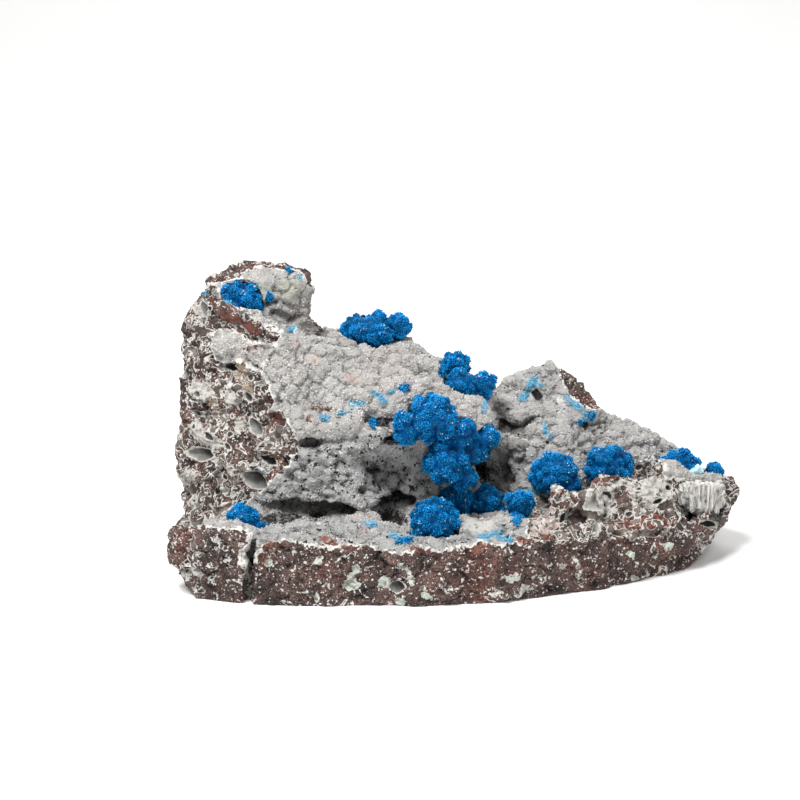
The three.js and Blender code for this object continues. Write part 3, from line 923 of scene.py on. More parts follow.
@dataclass(frozen=True)
class CrystalFinish:
    """Small grown crystals: a dark root, a body colour, a lighter tip, and a few painted white.

    Grown faces are glossy and catch the lamps. A few whole crystals are also painted white as
    painted glints; a tint above 1.5 marks them. The dark root and the lighter tip are partly the
    crystals' colour and partly painted shade deep among them and painted light on their outer ends.
    """

    name: str
    root: Tone
    body: Tone
    tip: Tone
    roughness: float = 0.35
    ior: float = 1.54
    dimmest: float = 0.65
    brightest: float = 1.35
    gloss: float = 0.5
    painted_glint: Tone = Tone.WHITE_CRUST

    def make(self) -> bpy.types.Material:
        """Builds the material.

        Returns:
            The material.
        """
        material = bpy.data.materials.new(self.name)
        material.use_nodes = True
        tree = material.node_tree
        shader = tree.nodes["Principled BSDF"]
        reach = add_node(tree, "Attribute", {}, "Fac", attribute_name="reach")
        tint = add_node(tree, "Attribute", {}, "Fac", attribute_name="tint")
        # Partly painted shade and light: the root darkens deep among the crystals and the tip lightens their
        # outer ends.
        lower = add_node(tree, "MapRange", {0: reach, 1: 0.0, 2: 0.7, 3: 0.0, 4: 1.0})
        upper = add_node(tree, "MapRange", {0: reach, 1: 0.72, 2: 1.06, 3: 0.0, 4: 1.0})
        body = add_node(
            tree, "Mix", {0: lower, 6: linear(self.root), 7: linear(self.body)}, 2, data_type="RGBA"
        )
        tipped = add_node(tree, "Mix", {0: upper, 6: body, 7: linear(self.tip)}, 2, data_type="RGBA")
        value = add_node(
            tree, "MapRange", {0: tint, 1: 0.0, 2: 1.0, 3: self.dimmest, 4: self.brightest}
        )
        varied = add_node(tree, "HueSaturation", {"Color": tipped, "Value": value}, "Color")
        # Painted highlight: crystals whose tint is above 1.5 are painted white as glints.
        painted_glints = add_node(tree, "MapRange", {0: tint, 1: 1.5, 2: 1.6, 3: 0.0, 4: 1.0})
        final = add_node(tree, "Mix", {0: painted_glints, 6: varied, 7: linear(self.painted_glint)}, 2, data_type="RGBA")
        tree.links.new(final, shader.inputs["Base Color"])
        shader.inputs["Roughness"].default_value = self.roughness
        shader.inputs["IOR"].default_value = self.ior
        shader.inputs["Specular IOR Level"].default_value = self.gloss
        place = add_node(tree, "TexCoord", {}, "Object")
        grains = add_node(tree, "TexNoise", {"Vector": place, "Scale": per_metre(0.4), "Detail": 2.0}, "Fac")
        bumped = add_node(tree, "Bump", {"Height": grains, "Strength": 0.4, "Distance": 0.12 * MM}, "Normal")
        tree.links.new(bumped, shader.inputs["Normal"])
        return material


@dataclass(frozen=True)
class GrownCrystal:
    """The shape of one crystal, upright on its root, one unit long and half a unit in radius."""

    sides: int = 3
    waist: float = 0.55

    def shape(self) -> tuple[np.ndarray, np.ndarray]:
        """Works out its corners and triangles.

        Returns:
            The corners, and the triangles as corner numbers.
        """
        turns = [2 * math.pi * k / self.sides for k in range(self.sides)]
        ring = [(0.5 * math.cos(t), 0.5 * math.sin(t), self.waist) for t in turns]
        corners = np.array([*ring, (0, 0, 1), (0, 0, 0)])
        faces = []
        for k in range(self.sides):
            after = (k + 1) % self.sides
            faces.append((k, after, self.sides))
            faces.append((after, k, self.sides + 1))
        return corners, np.array(faces)


def frames_of(axes: np.ndarray, spins: np.ndarray) -> np.ndarray:
    """Gives each axis two cross axes, turned round it.

    Args:
        axes: unit vectors, one row each.
        spins: the turn of each, in radians.

    Returns:
        For each, the three axes as rows, the given one last.
    """
    helper = np.where(np.abs(axes[:, 2:]) < 0.9, np.array([[0.0, 0.0, 1.0]]), np.array([[1.0, 0.0, 0.0]]))
    side = np.cross(helper, axes)
    side /= np.linalg.norm(side, axis=1)[:, None]
    other = np.cross(axes, side)
    first = side * np.cos(spins)[:, None] + other * np.sin(spins)[:, None]
    return np.stack([first, np.cross(axes, first), axes], axis=1)


@dataclass
class CrystalBatch:
    """Many crystals joined in one mesh, each a closed body of its own."""

    crystal: GrownCrystal
    roots: np.ndarray
    axes: np.ndarray
    widths: np.ndarray
    lengths: np.ndarray
    tints: np.ndarray
    spins: np.ndarray
    depths: np.ndarray | None = None

    def arrays(self) -> tuple[np.ndarray, np.ndarray, np.ndarray, np.ndarray]:
        """Works out the joined mesh.

        Returns:
            The corners, the triangles, and each corner's reach towards its tip and tint.
        """
        corners, faces = self.crystal.shape()
        frames = frames_of(self.axes, self.spins)
        depths = self.widths if self.depths is None else self.depths
        sizes = np.stack([self.widths, depths, self.lengths], axis=1)
        local = corners[None, :, :] * sizes[:, None, :]
        points = np.einsum("nkc,ncd->nkd", local, frames) + self.roots[:, None, :]
        count = len(self.roots)
        triangles = faces[None, :, :] + (np.arange(count) * len(corners))[:, None, None]
        reach = np.tile(corners[:, 2], count)
        tints = np.repeat(self.tints, len(corners))
        return points.reshape(-1, 3), triangles.reshape(-1, 3), reach, tints


def sample(
    points: np.ndarray, triangles: np.ndarray, count: int, random: np.random.Generator
) -> tuple[np.ndarray, np.ndarray, np.ndarray]:
    """Scatters places evenly over a surface.

    Args:
        points: its vertices.
        triangles: its triangles.
        count: how many places.
        random: the source of randomness.

    Returns:
        The places, the surface's normals there, and the number of each one's triangle.
    """
    a, b, c = (points[triangles[:, k]] for k in range(3))
    normals = np.cross(b - a, c - a)
    areas = np.linalg.norm(normals, axis=1)
    chosen = random.choice(len(triangles), count, p=areas / areas.sum())
    u = np.sqrt(random.random(count))[:, None]
    v = random.random(count)[:, None]
    places = a[chosen] * (1 - u) + b[chosen] * u * (1 - v) + c[chosen] * u * v
    return places, normals[chosen] / np.maximum(areas[chosen], 1e-12)[:, None], chosen


def spaced(places: np.ndarray, spacing: float) -> np.ndarray:
    """Picks places in order, leaving out each that lies too near to one picked before.

    Args:
        places: the places, one row each.
        spacing: the least distance between two.

    Returns:
        The numbers of those picked.
    """
    taken: dict[tuple[int, int, int], list[int]] = {}
    picked = []
    cells = np.floor(places / spacing).astype(int)
    around = [(i, j, k) for i in (-1, 0, 1) for j in (-1, 0, 1) for k in (-1, 0, 1)]
    for number, (cell, place) in enumerate(zip(cells.tolist(), places)):
        near = [n for i, j, k in around for n in taken.get((cell[0] + i, cell[1] + j, cell[2] + k), ())]
        if near and np.min(np.sum((places[near] - place) ** 2, axis=1)) < spacing**2:
            continue
        taken.setdefault(tuple(cell), []).append(number)
        picked.append(number)
    return np.array(picked)


@dataclass
class MatrixStone:
    """The broken lump of basalt with its crust: the CAD form, with the relief of rock and druse."""

    camera: PhotoCamera
    voxel: float = 0.6
    keep: float = 0.58
    base: float = 1.2
    crispness: float = 2.6
    stain_and_shadow_reach: float = 16.0
    crystal_reach: float = 6.0
    hole_tries: int = 9000
    hole_spacing: float = 4.6
    clump: float = 4.2
    small_clump: float = 1.9
    facet: float = 5.5
    chip: float = 2.3
    tower: Region = Region((
        (150, 284), (213, 284), (225, 296), (243, 308), (262, 325), (281, 332), (277, 343), (268, 352),
        (262, 373), (276, 398), (270, 410), (284, 412), (290, 425), (298, 433), (298, 451), (291, 457),
        (290, 465), (280, 475), (268, 485), (262, 492), (254, 496), (240, 512), (225, 518), (150, 522),
    ))
    bulge: Region = Region((
        (214, 333), (226, 329), (240, 334), (247, 341), (262, 343), (276, 346), (268, 360), (261, 372),
        (250, 368), (244, 361), (236, 361), (228, 366), (218, 359), (211, 347),
    ))
    corner: Region = Region((
        (150, 523), (190, 522), (205, 524), (219, 531), (230, 528), (249, 531), (252, 535), (248, 545),
        (239, 551), (240, 567), (244, 575), (249, 587), (250, 604), (150, 604),
    ), far=0)
    slab: Region = Region((
        (256, 560), (262, 545), (272, 541), (297, 541), (305, 545), (330, 548), (352, 545), (362, 545),
        (380, 550), (400, 554), (412, 552), (420, 546), (430, 549), (440, 552), (455, 547), (470, 548),
        (480, 541), (490, 543), (500, 545), (520, 543), (530, 537), (545, 540), (560, 540), (575, 535),
        (590, 527), (605, 530), (625, 527), (640, 519), (655, 515), (668, 522), (672, 531), (680, 527),
        (690, 535), (697, 545), (707, 555), (705, 568), (692, 585), (650, 598), (540, 610), (255, 612),
        (252, 588), (250, 570),
    ), far=10)
    rim: Region = Region((
        (533, 500), (545, 494), (560, 489), (578, 479), (600, 473), (632, 466), (640, 462), (652, 457),
        (664, 466), (668, 478), (690, 480), (700, 500), (700, 530), (690, 536), (560, 542), (528, 540),
        (528, 515),
    ), far=12)
    right_end: Region = Region((
        (700, 560), (696, 530), (700, 500), (724, 478), (760, 480), (760, 580),
    ), far=30)
    peak_face: Region = Region((
        (558, 366), (566, 362), (602, 400), (600, 410), (590, 409), (578, 402), (568, 394), (563, 380),
    ), far=40)
    summit_edge: Region = Region((
        (195, 284), (205, 262), (240, 258), (300, 258), (318, 285), (309, 288), (300, 273), (262, 268),
        (247, 271), (240, 278), (228, 280), (213, 284),
    ), far=60)
    body: Region = Region((
        (250, 500), (285, 470), (300, 440), (360, 432), (380, 425), (410, 440), (430, 470), (440, 510),
        (380, 506), (300, 500), (250, 512),
    ), far=60)
    floor_strip: Region = Region((
        (225, 525), (262, 528), (330, 518), (400, 526), (470, 518), (530, 520), (530, 536), (480, 545),
        (400, 552), (330, 550), (262, 545), (240, 548),
    ), far=60)
    peak_slope: Region = Region((
        (490, 400), (510, 380), (560, 372), (610, 415), (690, 455), (640, 450), (560, 460), (530, 500),
        (490, 490),
    ), far=60)
    stains_and_shadows: tuple[Stain | Blot, ...] = ()
    vesicles: tuple[Vesicle, ...] = ()
    dents: tuple[Dent, ...] = ()
    cracks: tuple[Crack, ...] = ()
    seed: int = 11
    random: np.random.Generator = field(init=False)

    def __post_init__(self) -> None:
        """Seeds the randomness."""
        self.random = np.random.default_rng(self.seed)

    def rock_distance(self, points: np.ndarray) -> np.ndarray:
        """Measures how far points lie inside the bare rock.

        Args:
            points: places in millimetres.

        Returns:
            Distances in millimetres, negative on the druse.
        """
        x, y, z = points.T
        ragged = 3.5 * Grain(self.seed + 41).smooth(points, 11, 3)
        behind = np.maximum(y - 27, np.minimum(-36 - x, y - 18)) + ragged
        unseen = np.maximum.reduce([-71 - x, x - 77, behind, 12 - z])
        pixels = self.camera.project(points)
        rock = unseen
        front = (self.tower, self.corner, self.slab, self.rim)
        for region in (*front, self.right_end, self.peak_face, self.summit_edge):
            rock = np.maximum(rock, region.distance(pixels, y, self.camera.scale))
        return np.minimum(rock, -self.bulge.distance(pixels, y, self.camera.scale))

    def network_share(self, points: np.ndarray) -> np.ndarray:
        """Gives the share of small rimmed holes: high on the tower and the rim, low on the slab.

        Args:
            points: places in millimetres.

        Returns:
            The share at each place, from 0 to 1.
        """
        pixels = self.camera.project(points)
        on_slab = np.clip(self.slab.distance(pixels, points[:, 1], self.camera.scale) / 1.5 + 0.5, 0, 1)
        share = 0.3 - 0.13 * on_slab
        shares = ((self.tower, 0.57), (self.rim, 0.85), (self.right_end, 0.66), (self.corner, 0.32))
        for region, amount in shares:
            inner = region.distance(pixels, points[:, 1], self.camera.scale)
            share = np.maximum(share, amount * np.clip(inner / 1.5 + 0.5, 0, 1))
        left = np.clip((-68 - points[:, 0]) / 3, 0, 1)
        behind = np.clip((points[:, 1] - 20) / 4, 0, 1)
        share = np.maximum(share, 0.4 * np.maximum(left, behind))
        return share * (1 + 0.45 * Grain(self.seed + 31).smooth(points * np.array([1, 1, 1.6]), 13, 2))

    def crystal_distance(self, points: np.ndarray) -> np.ndarray:
        """Measures how far points lie from the nearest rosette, within a reach.

        Args:
            points: places in millimetres.

        Returns:
            The distances in millimetres.
        """
        reach = self.crystal_reach
        far = np.full(len(points), reach)
        for name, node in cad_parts.items():
            if name == "matrix":
                continue
            corners = points_of(node.data)
            low = corners.min(axis=0) - reach
            high = corners.max(axis=0) + reach
            near = ((points > low) & (points < high)).all(axis=1)
            tree = tree_of(node.data)
            for number in np.flatnonzero(near):
                found = tree.find_nearest(points[number], reach)[3]
                if found is not None:
                    far[number] = min(far[number], found)
        return far

    def relief(self, points: np.ndarray, rock: np.ndarray) -> np.ndarray:
        """Works out how far the surface stands out or sinks in.

        Args:
            points: the smooth surface.
            rock: how far each point lies inside the bare rock.

        Returns:
            Heights in millimetres.
        """
        grain = Grain(self.seed)
        bent = points + 0.6 * np.stack(
            [Grain(self.seed + k).smooth(points, 2.2, 2) for k in (1, 2, 3)], axis=1
        )
        big, big_next, _ = grain.cells(bent, self.clump)
        small, _, _ = Grain(self.seed + 5).cells(bent, self.small_clump)
        lumps = 1.25 * (0.42 - big**2) + 0.6 * (0.42 - small**2)
        cracks = -0.8 * np.exp(-(((big_next - big) / 0.09) ** 2)) * (grain.smooth(points + 70, 5, 2) > -0.15)
        druse = lumps + cracks + 0.35 * grain.smooth(points, 9, 3)
        facets, facets_next, label = Grain(self.seed + 9).cells(bent * np.array([1, 1, 1.35]), self.facet)
        _, _, chip_label = Grain(self.seed + 13).cells(bent, self.chip)
        broken = (
            1.3 * (label - 0.5)
            + 0.9 * (chip_label - 0.5)
            - 0.5 * np.exp(-(((facets_next - facets) / 0.08) ** 2))
            + 0.8 * grain.smooth(points, 6, 4)
            + 0.4 * grain.smooth(points + 40, 1.5, 2)
        )
        share = np.clip(rock / 0.8 + 0.5, 0, 1)
        lip = 0.35 * np.exp(-((rock / 0.7) ** 2))
        pocks = -1.2 * np.clip(grain.smooth(points + 90, 2.4, 3) - 0.22, 0, 0.5)
        return (druse + pocks) * (1 - share) + (broken + 1.4 * pocks) * share + lip

    def scattered_vesicles(
        self, points: np.ndarray, normals: np.ndarray, share: np.ndarray
    ) -> tuple[np.ndarray, np.ndarray, np.ndarray]:
        """Places gas holes at random over the bare rock.

        Args:
            points: the surface.
            normals: its normals.
            share: how thickly the holes lie.

        Returns:
            Each point's distance inside the nearest hole, that hole's wall tone with its painted shade, and
            the depth there.
        """
        chance = np.clip(share - 0.32, 0, 1)
        picks = self.random.choice(len(points), self.hole_tries, p=chance / chance.sum())
        centres = points[picks]
        chosen = spaced(centres, self.hole_spacing)
        centres = centres[chosen]
        out = normals[picks][chosen]
        radii = 0.3 + 0.9 * self.random.random(len(centres)) ** 2
        stretch = 1 + 0.9 * self.random.random(len(centres))
        linings = np.where(self.random.random(len(centres)) < 0.65, 0.08, 0.8)
        across = frames_of(out, self.random.random(len(centres)) * 2 * math.pi)
        index = KDTree(len(centres))
        for number, centre in enumerate(centres):
            index.insert(Vector(centre), number)
        index.balance()
        reach = np.full(len(points), FAR_OUTSIDE)
        lining_and_shade = np.zeros(len(points))
        near = np.flatnonzero(chance > 0.02)
        for vertex in near:
            _, number, far = index.find(Vector(points[vertex]))
            if far > 4:
                continue
            rel = across[number] @ (points[vertex] - centres[number])
            oval = math.hypot(rel[0] / stretch[number], rel[1])
            reach[vertex] = radii[number] - max(oval, 0.6 * abs(rel[2]))
            lining_and_shade[vertex] = linings[number]
        reach += 0.6 * Grain(self.seed + 17).smooth(points, 1.1, 3)
        depth = np.clip(reach, 0, 1.2) * 1.1
        return reach, lining_and_shade, depth

    def named_vesicles(
        self, points: np.ndarray, tree: BVHTree, reach: np.ndarray, lining_and_shade: np.ndarray, depth: np.ndarray
    ) -> None:
        """Adds the gas holes that the photograph shows at known places.

        Args:
            points: the surface.
            tree: the same surface, to look up.
            reach: each point's distance inside the nearest hole, changed here.
            lining_and_shade: the wall tone of that hole, with painted shade on one side, changed here.
            depth: the depth at each point, changed here.
        """
        pixels = self.camera.project(points)
        for vesicle in self.vesicles:
            hit = self.camera.cast(tree, vesicle.middle)
            if hit is None:
                continue
            size = max(vesicle.half) * self.camera.scale
            near = np.linalg.norm(points - hit, axis=1) < 1.8 * size + 2
            inner = oval_distance(pixels, vesicle.middle, vesicle.half, vesicle.tilt, 1.5) * self.camera.scale
            inner += 0.45 * Grain(self.seed + 19).smooth(points, 1.8, 3)
            closer = near & (inner > -1.2)
            reach[closer] = np.where(inner > -0.5, inner, np.minimum(reach, inner))[closer]
            rel = (pixels - np.array(vesicle.middle)) / max(vesicle.half)
            # Painted shade: the wall tone is lighter towards the lower left of the hole and darker towards
            # the upper right.
            wear_and_painted_shade = vesicle.lining_and_shade * (0.6 + 0.9 * (rel[:, 1] - rel[:, 0]))
            lining_and_shade[closer] = np.clip(wear_and_painted_shade + 0.25 * Grain(self.seed + 23).smooth(points, 1.1, 2), 0, 1)[closer]
            half = min(vesicle.half) * self.camera.scale
            bowl = vesicle.depth * np.sqrt(np.clip(inner / half, 0, 1))
            depth[closer] = bowl[closer]

    def dug(self, points: np.ndarray, tree: BVHTree) -> np.ndarray:
        """Works out the named hollows, swellings and crevices.

        Args:
            points: the surface.
            tree: the same surface, to look up.

        Returns:
            The depth at each point, in millimetres.
        """
        pixels = self.camera.project(points)
        depth = np.zeros(len(points))
        for dent in self.dents:
            hit = self.camera.cast(tree, dent.middle)
            if hit is None:
                continue
            near = np.linalg.norm(points - hit, axis=1) < max(dent.half) * self.camera.scale + 5
            inner = oval_distance(pixels, dent.middle, dent.half, dent.tilt) / min(dent.half)
            ease = np.clip(inner * 1.6, 0, 1)
            depth += np.where(near, dent.depth * ease * ease * (3 - 2 * ease), 0)
        for crack in self.cracks:
            hit = self.camera.cast(tree, crack.path[len(crack.path) // 2])
            if hit is None:
                continue
            length = np.linalg.norm(np.ptp(np.array(crack.path), axis=0)) * self.camera.scale
            near = np.linalg.norm(points - hit, axis=1) < length / 2 + 5
            away = line_distance(pixels, crack.path) * self.camera.scale / crack.half_width
            depth += np.where(near, crack.depth * np.exp(-(away**2)), 0)
        return depth

    def stain_and_shadow_layers(
        self, points: np.ndarray, normals: np.ndarray, tree: BVHTree
    ) -> tuple[np.ndarray, np.ndarray]:
        """Works out the coloured patches: real colour patches, and near-black painted shadows in the hollows.

        Args:
            points: the surface.
            normals: its normals.
            tree: the same surface, to look up.

        Returns:
            Each point's colour, and its distance inside the patch.
        """
        pixels = self.camera.project(points)
        tones = np.tile(np.array(linear(Tone.CREAM)), (len(points), 1))
        edge = np.full(len(points), FAR_OUTSIDE)
        facing = normals @ self.camera.back > -0.25
        for stain_and_shadow in self.stains_and_shadows:
            if isinstance(stain_and_shadow, Blot):
                inner = oval_distance(pixels, stain_and_shadow.middle, stain_and_shadow.half, stain_and_shadow.tilt) * self.camera.scale
                if stain_and_shadow.tone is Tone.AMYGDULE:
                    inner *= self.crispness
                middle = stain_and_shadow.middle
            else:
                inner = inside_distance(pixels, stain_and_shadow.outline) * self.camera.scale
                middle = tuple(np.mean(np.array(stain_and_shadow.outline), axis=0))
            hit = self.camera.cast(tree, middle)
            if hit is None:
                continue
            near = facing & (np.linalg.norm(points - hit, axis=1) < self.stain_and_shadow_reach)
            inner = np.where(near, inner, FAR_OUTSIDE)
            over = (inner > 0) | ((inner > edge) & (edge < 0))
            tones[over] = linear(stain_and_shadow.tone)
            edge = np.maximum(edge, inner)
        return tones, edge

    def build(self, material: bpy.types.Material) -> bpy.types.Object:
        """Builds the stone.

        Args:
            material: the finish of rock and crust.

        Returns:
            The piece.
        """
        mesh = remeshed(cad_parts["matrix"].data, self.voxel, smoothing=3, keep=self.keep)
        points = points_of(mesh)
        normals = normals_of(mesh)
        tree = tree_of(mesh)
        rock = self.rock_distance(points)
        share = self.network_share(points) * np.clip(rock + 0.5, 0, 1)
        pixels = self.camera.project(points)
        under_lip = np.clip(self.body.distance(pixels, points[:, 1], self.camera.scale) / 3 + 0.5, 0, 1)
        slope = np.clip(self.peak_slope.distance(pixels, points[:, 1], self.camera.scale) / 3 + 0.5, 0, 1)
        height = self.relief(points, rock) * (1 + 0.3 * under_lip + 0.2 * slope)
        reach, lining_and_shade, depth = self.scattered_vesicles(points, normals, share)
        self.named_vesicles(points, tree, reach, lining_and_shade, depth)
        tones, edge = self.stain_and_shadow_layers(points, normals, tree)
        share *= np.where(edge > 0, 0.65, 1)
        height = height * np.clip(1 - depth, 0.25, 1) - depth - self.dug(points, tree)
        crystals = self.crystal_distance(points)
        height = np.where(height > 0, height * np.clip((crystals - 1.5) / 2, 0, 1), height)
        height *= np.clip((points[:, 2] - 0.3) / self.base, 0, 1)
        set_points(mesh, points + normals * height[:, None])
        paint(mesh, "open_sky", open_sky(mesh))
        paint(mesh, "crystals", crystals)
        paint(mesh, "crust", -rock)
        paint(mesh, "network", share)
        paint(mesh, "vesicle", reach)
        paint(mesh, "lining_and_shade", lining_and_shade)
        paint(mesh, "stain_and_shadow", tones)
        paint(mesh, "stain_and_shadow_edge", edge)
        strip = np.clip(self.floor_strip.distance(pixels, points[:, 1], self.camera.scale) / 2 + 0.5, 0, 1)
        paint(mesh, "porous", 0.15 + np.maximum.reduce([0.85 * under_lip, 0.4 * slope, 0.7 * strip]))
        return add_piece("basalt_matrix", mesh, material, ("matrix",))


@dataclass
class DruseCrust:
    """The sugary zeolite crystals that line the rock, joined in one mesh for each side."""

    stone: bpy.types.Object
    name: str
    left: float
    right: float
    spacing: float = 0.72
    lean: float = 0.8
    shortest: float = 0.5
    extra: float = 0.7
    seed: int = 3

    def build(self, material: bpy.types.Material) -> bpy.types.Object:
        """Grows the crystals on the stone between two places along its length.

        Args:
            material: their finish.

        Returns:
            The piece.
        """
        random = np.random.default_rng(self.seed)
        points = points_of(self.stone.data)
        triangles = triangles_of(self.stone.data)
        layers = {}
        for name in ("crust", "open_sky", "crystals", "porous", "stain_and_shadow_edge", "vesicle"):
            values = np.empty(len(points), np.float32)
            self.stone.data.attributes[name].data.foreach_get("value", values)
            layers[name] = values[triangles].mean(axis=1)
        middle = points[triangles].mean(axis=1)
        good = (layers["crust"] > 0.5) & (middle[:, 0] >= self.left) & (middle[:, 0] < self.right)
        good &= (layers["stain_and_shadow_edge"] < 0.3) & (layers["vesicle"] < 0) & (layers["crystals"] > 0.9)
        triangles = triangles[good]
        layers = {name: values[good] for name, values in layers.items()}
        a, b, c = (points[triangles[:, k]] for k in range(3))
        area = np.linalg.norm(np.cross(b - a, c - a), axis=1).sum() / 2
        places, normals, chosen = sample(points, triangles, int(area / self.spacing**2), random)
        tilt = random.normal(size=places.shape) * self.lean
        axes = normals + tilt
        axes /= np.linalg.norm(axes, axis=1)[:, None]
        lengths = self.shortest + self.extra * random.random(len(places)) ** 2
        # Painted shade: crystals in enclosed places, where open_sky is low, get a low tint and turn dark;
        # those over the pores are darkened too.
        painted_shade_openness = np.clip((layers["open_sky"][chosen] - 0.15) / 0.6, 0, 1)
        cloud = Grain(self.seed).smooth(places, 1.6, 2) + 0.6 * Grain(self.seed + 1).smooth(places, 7, 2)
        porous = layers["porous"][chosen]
        pores = Grain(self.seed + 2).smooth(places, 1.9, 2) * (0.4 + porous)
        tints = 0.12 + 0.68 * painted_shade_openness + 0.34 * cloud + 0.08 * random.normal(size=len(places))
        tints = np.clip(tints - 0.13 * porous - 0.5 * np.clip(pores - 0.25, 0, 1), 0, 1)
        batch = CrystalBatch(
            GrownCrystal(sides=4, waist=0.5),
            places - axes * (0.5 * lengths)[:, None],
            axes,
            0.5 * lengths + 0.28,
            lengths,
            tints,
            random.random(len(places)) * FULL_TURN,
            depths=0.35 * lengths + 0.25,
        )
        corners, faces, reach, tint = batch.arrays()
        mesh = make_mesh(self.name, corners, faces)
        paint(mesh, "reach", 0.55 + 0.45 * reach)
        paint(mesh, "tint", tint)
        return add_piece(self.name, mesh, material)


@dataclass(frozen=True)
class Spray:
    """A patch of small cavansite crystals: its middle, half sizes, tilt, and height in mm."""

    middle: tuple[float, float]
    half: tuple[float, float]
    tilt: float = 0.0
    height: float = 0.0


@dataclass
class CrystalSprays:
    """Patches of small crystals strewn over the stone, joined in one mesh."""

    name: str
    camera: PhotoCamera
    stone_tree: BVHTree
    sprays: tuple[Spray, ...]
    per_pixel: float = 1.5
    width: float = 0.3
    seed: int = 77
    lean: float = 0.6
    root: float = 0.3

    def build(self, material: bpy.types.Material) -> bpy.types.Object:
        """Grows the crystals where the picture shows them.

        Args:
            material: their finish.

        Returns:
            The piece.
        """
        random = np.random.default_rng(self.seed)
        roots, axes, lifts = [], [], []
        for spray in self.sprays:
            turn = math.radians(spray.tilt)
            for _ in range(int(self.per_pixel * math.pi * spray.half[0] * spray.half[1])):
                angle = 2 * math.pi * random.random()
                far = random.random() ** 0.7
                along = far * spray.half[0] * math.cos(angle)
                across = far * spray.half[1] * math.sin(angle)
                pixel = (
                    spray.middle[0] + along * math.cos(turn) - across * math.sin(turn),
                    spray.middle[1] + along * math.sin(turn) + across * math.cos(turn),
                )
                hit = self.camera.cast(self.stone_tree, pixel)
                if hit is None:
                    continue
                normal = self.stone_tree.find_nearest(hit)[1]
                roots.append(hit)
                axes.append(np.array(normal) + self.lean * random.normal(size=3))
                lifts.append(spray.height * (1 - far**2))
        roots = np.array(roots)
        axes = np.array(axes)
        axes /= np.linalg.norm(axes, axis=1)[:, None]
        lengths = 0.55 + 0.5 * random.random(len(roots)) + np.array(lifts)
        batch = CrystalBatch(
            GrownCrystal(sides=3, waist=0.7),
            roots - axes * self.root,
            axes,
            self.width * (1 + 0.8 * random.random(len(roots))) + 0.25 * np.array(lifts),
            lengths + self.root,
            np.clip(0.5 + 0.25 * random.normal(size=len(roots)), 0, 1),
            random.random(len(roots)) * FULL_TURN,
        )
        corners, faces, reach, tint = batch.arrays()
        mesh = make_mesh(self.name, corners, faces)
        paint(mesh, "reach", 0.3 + 0.7 * reach)
        paint(mesh, "tint", tint)
        return add_piece(self.name, mesh, material)


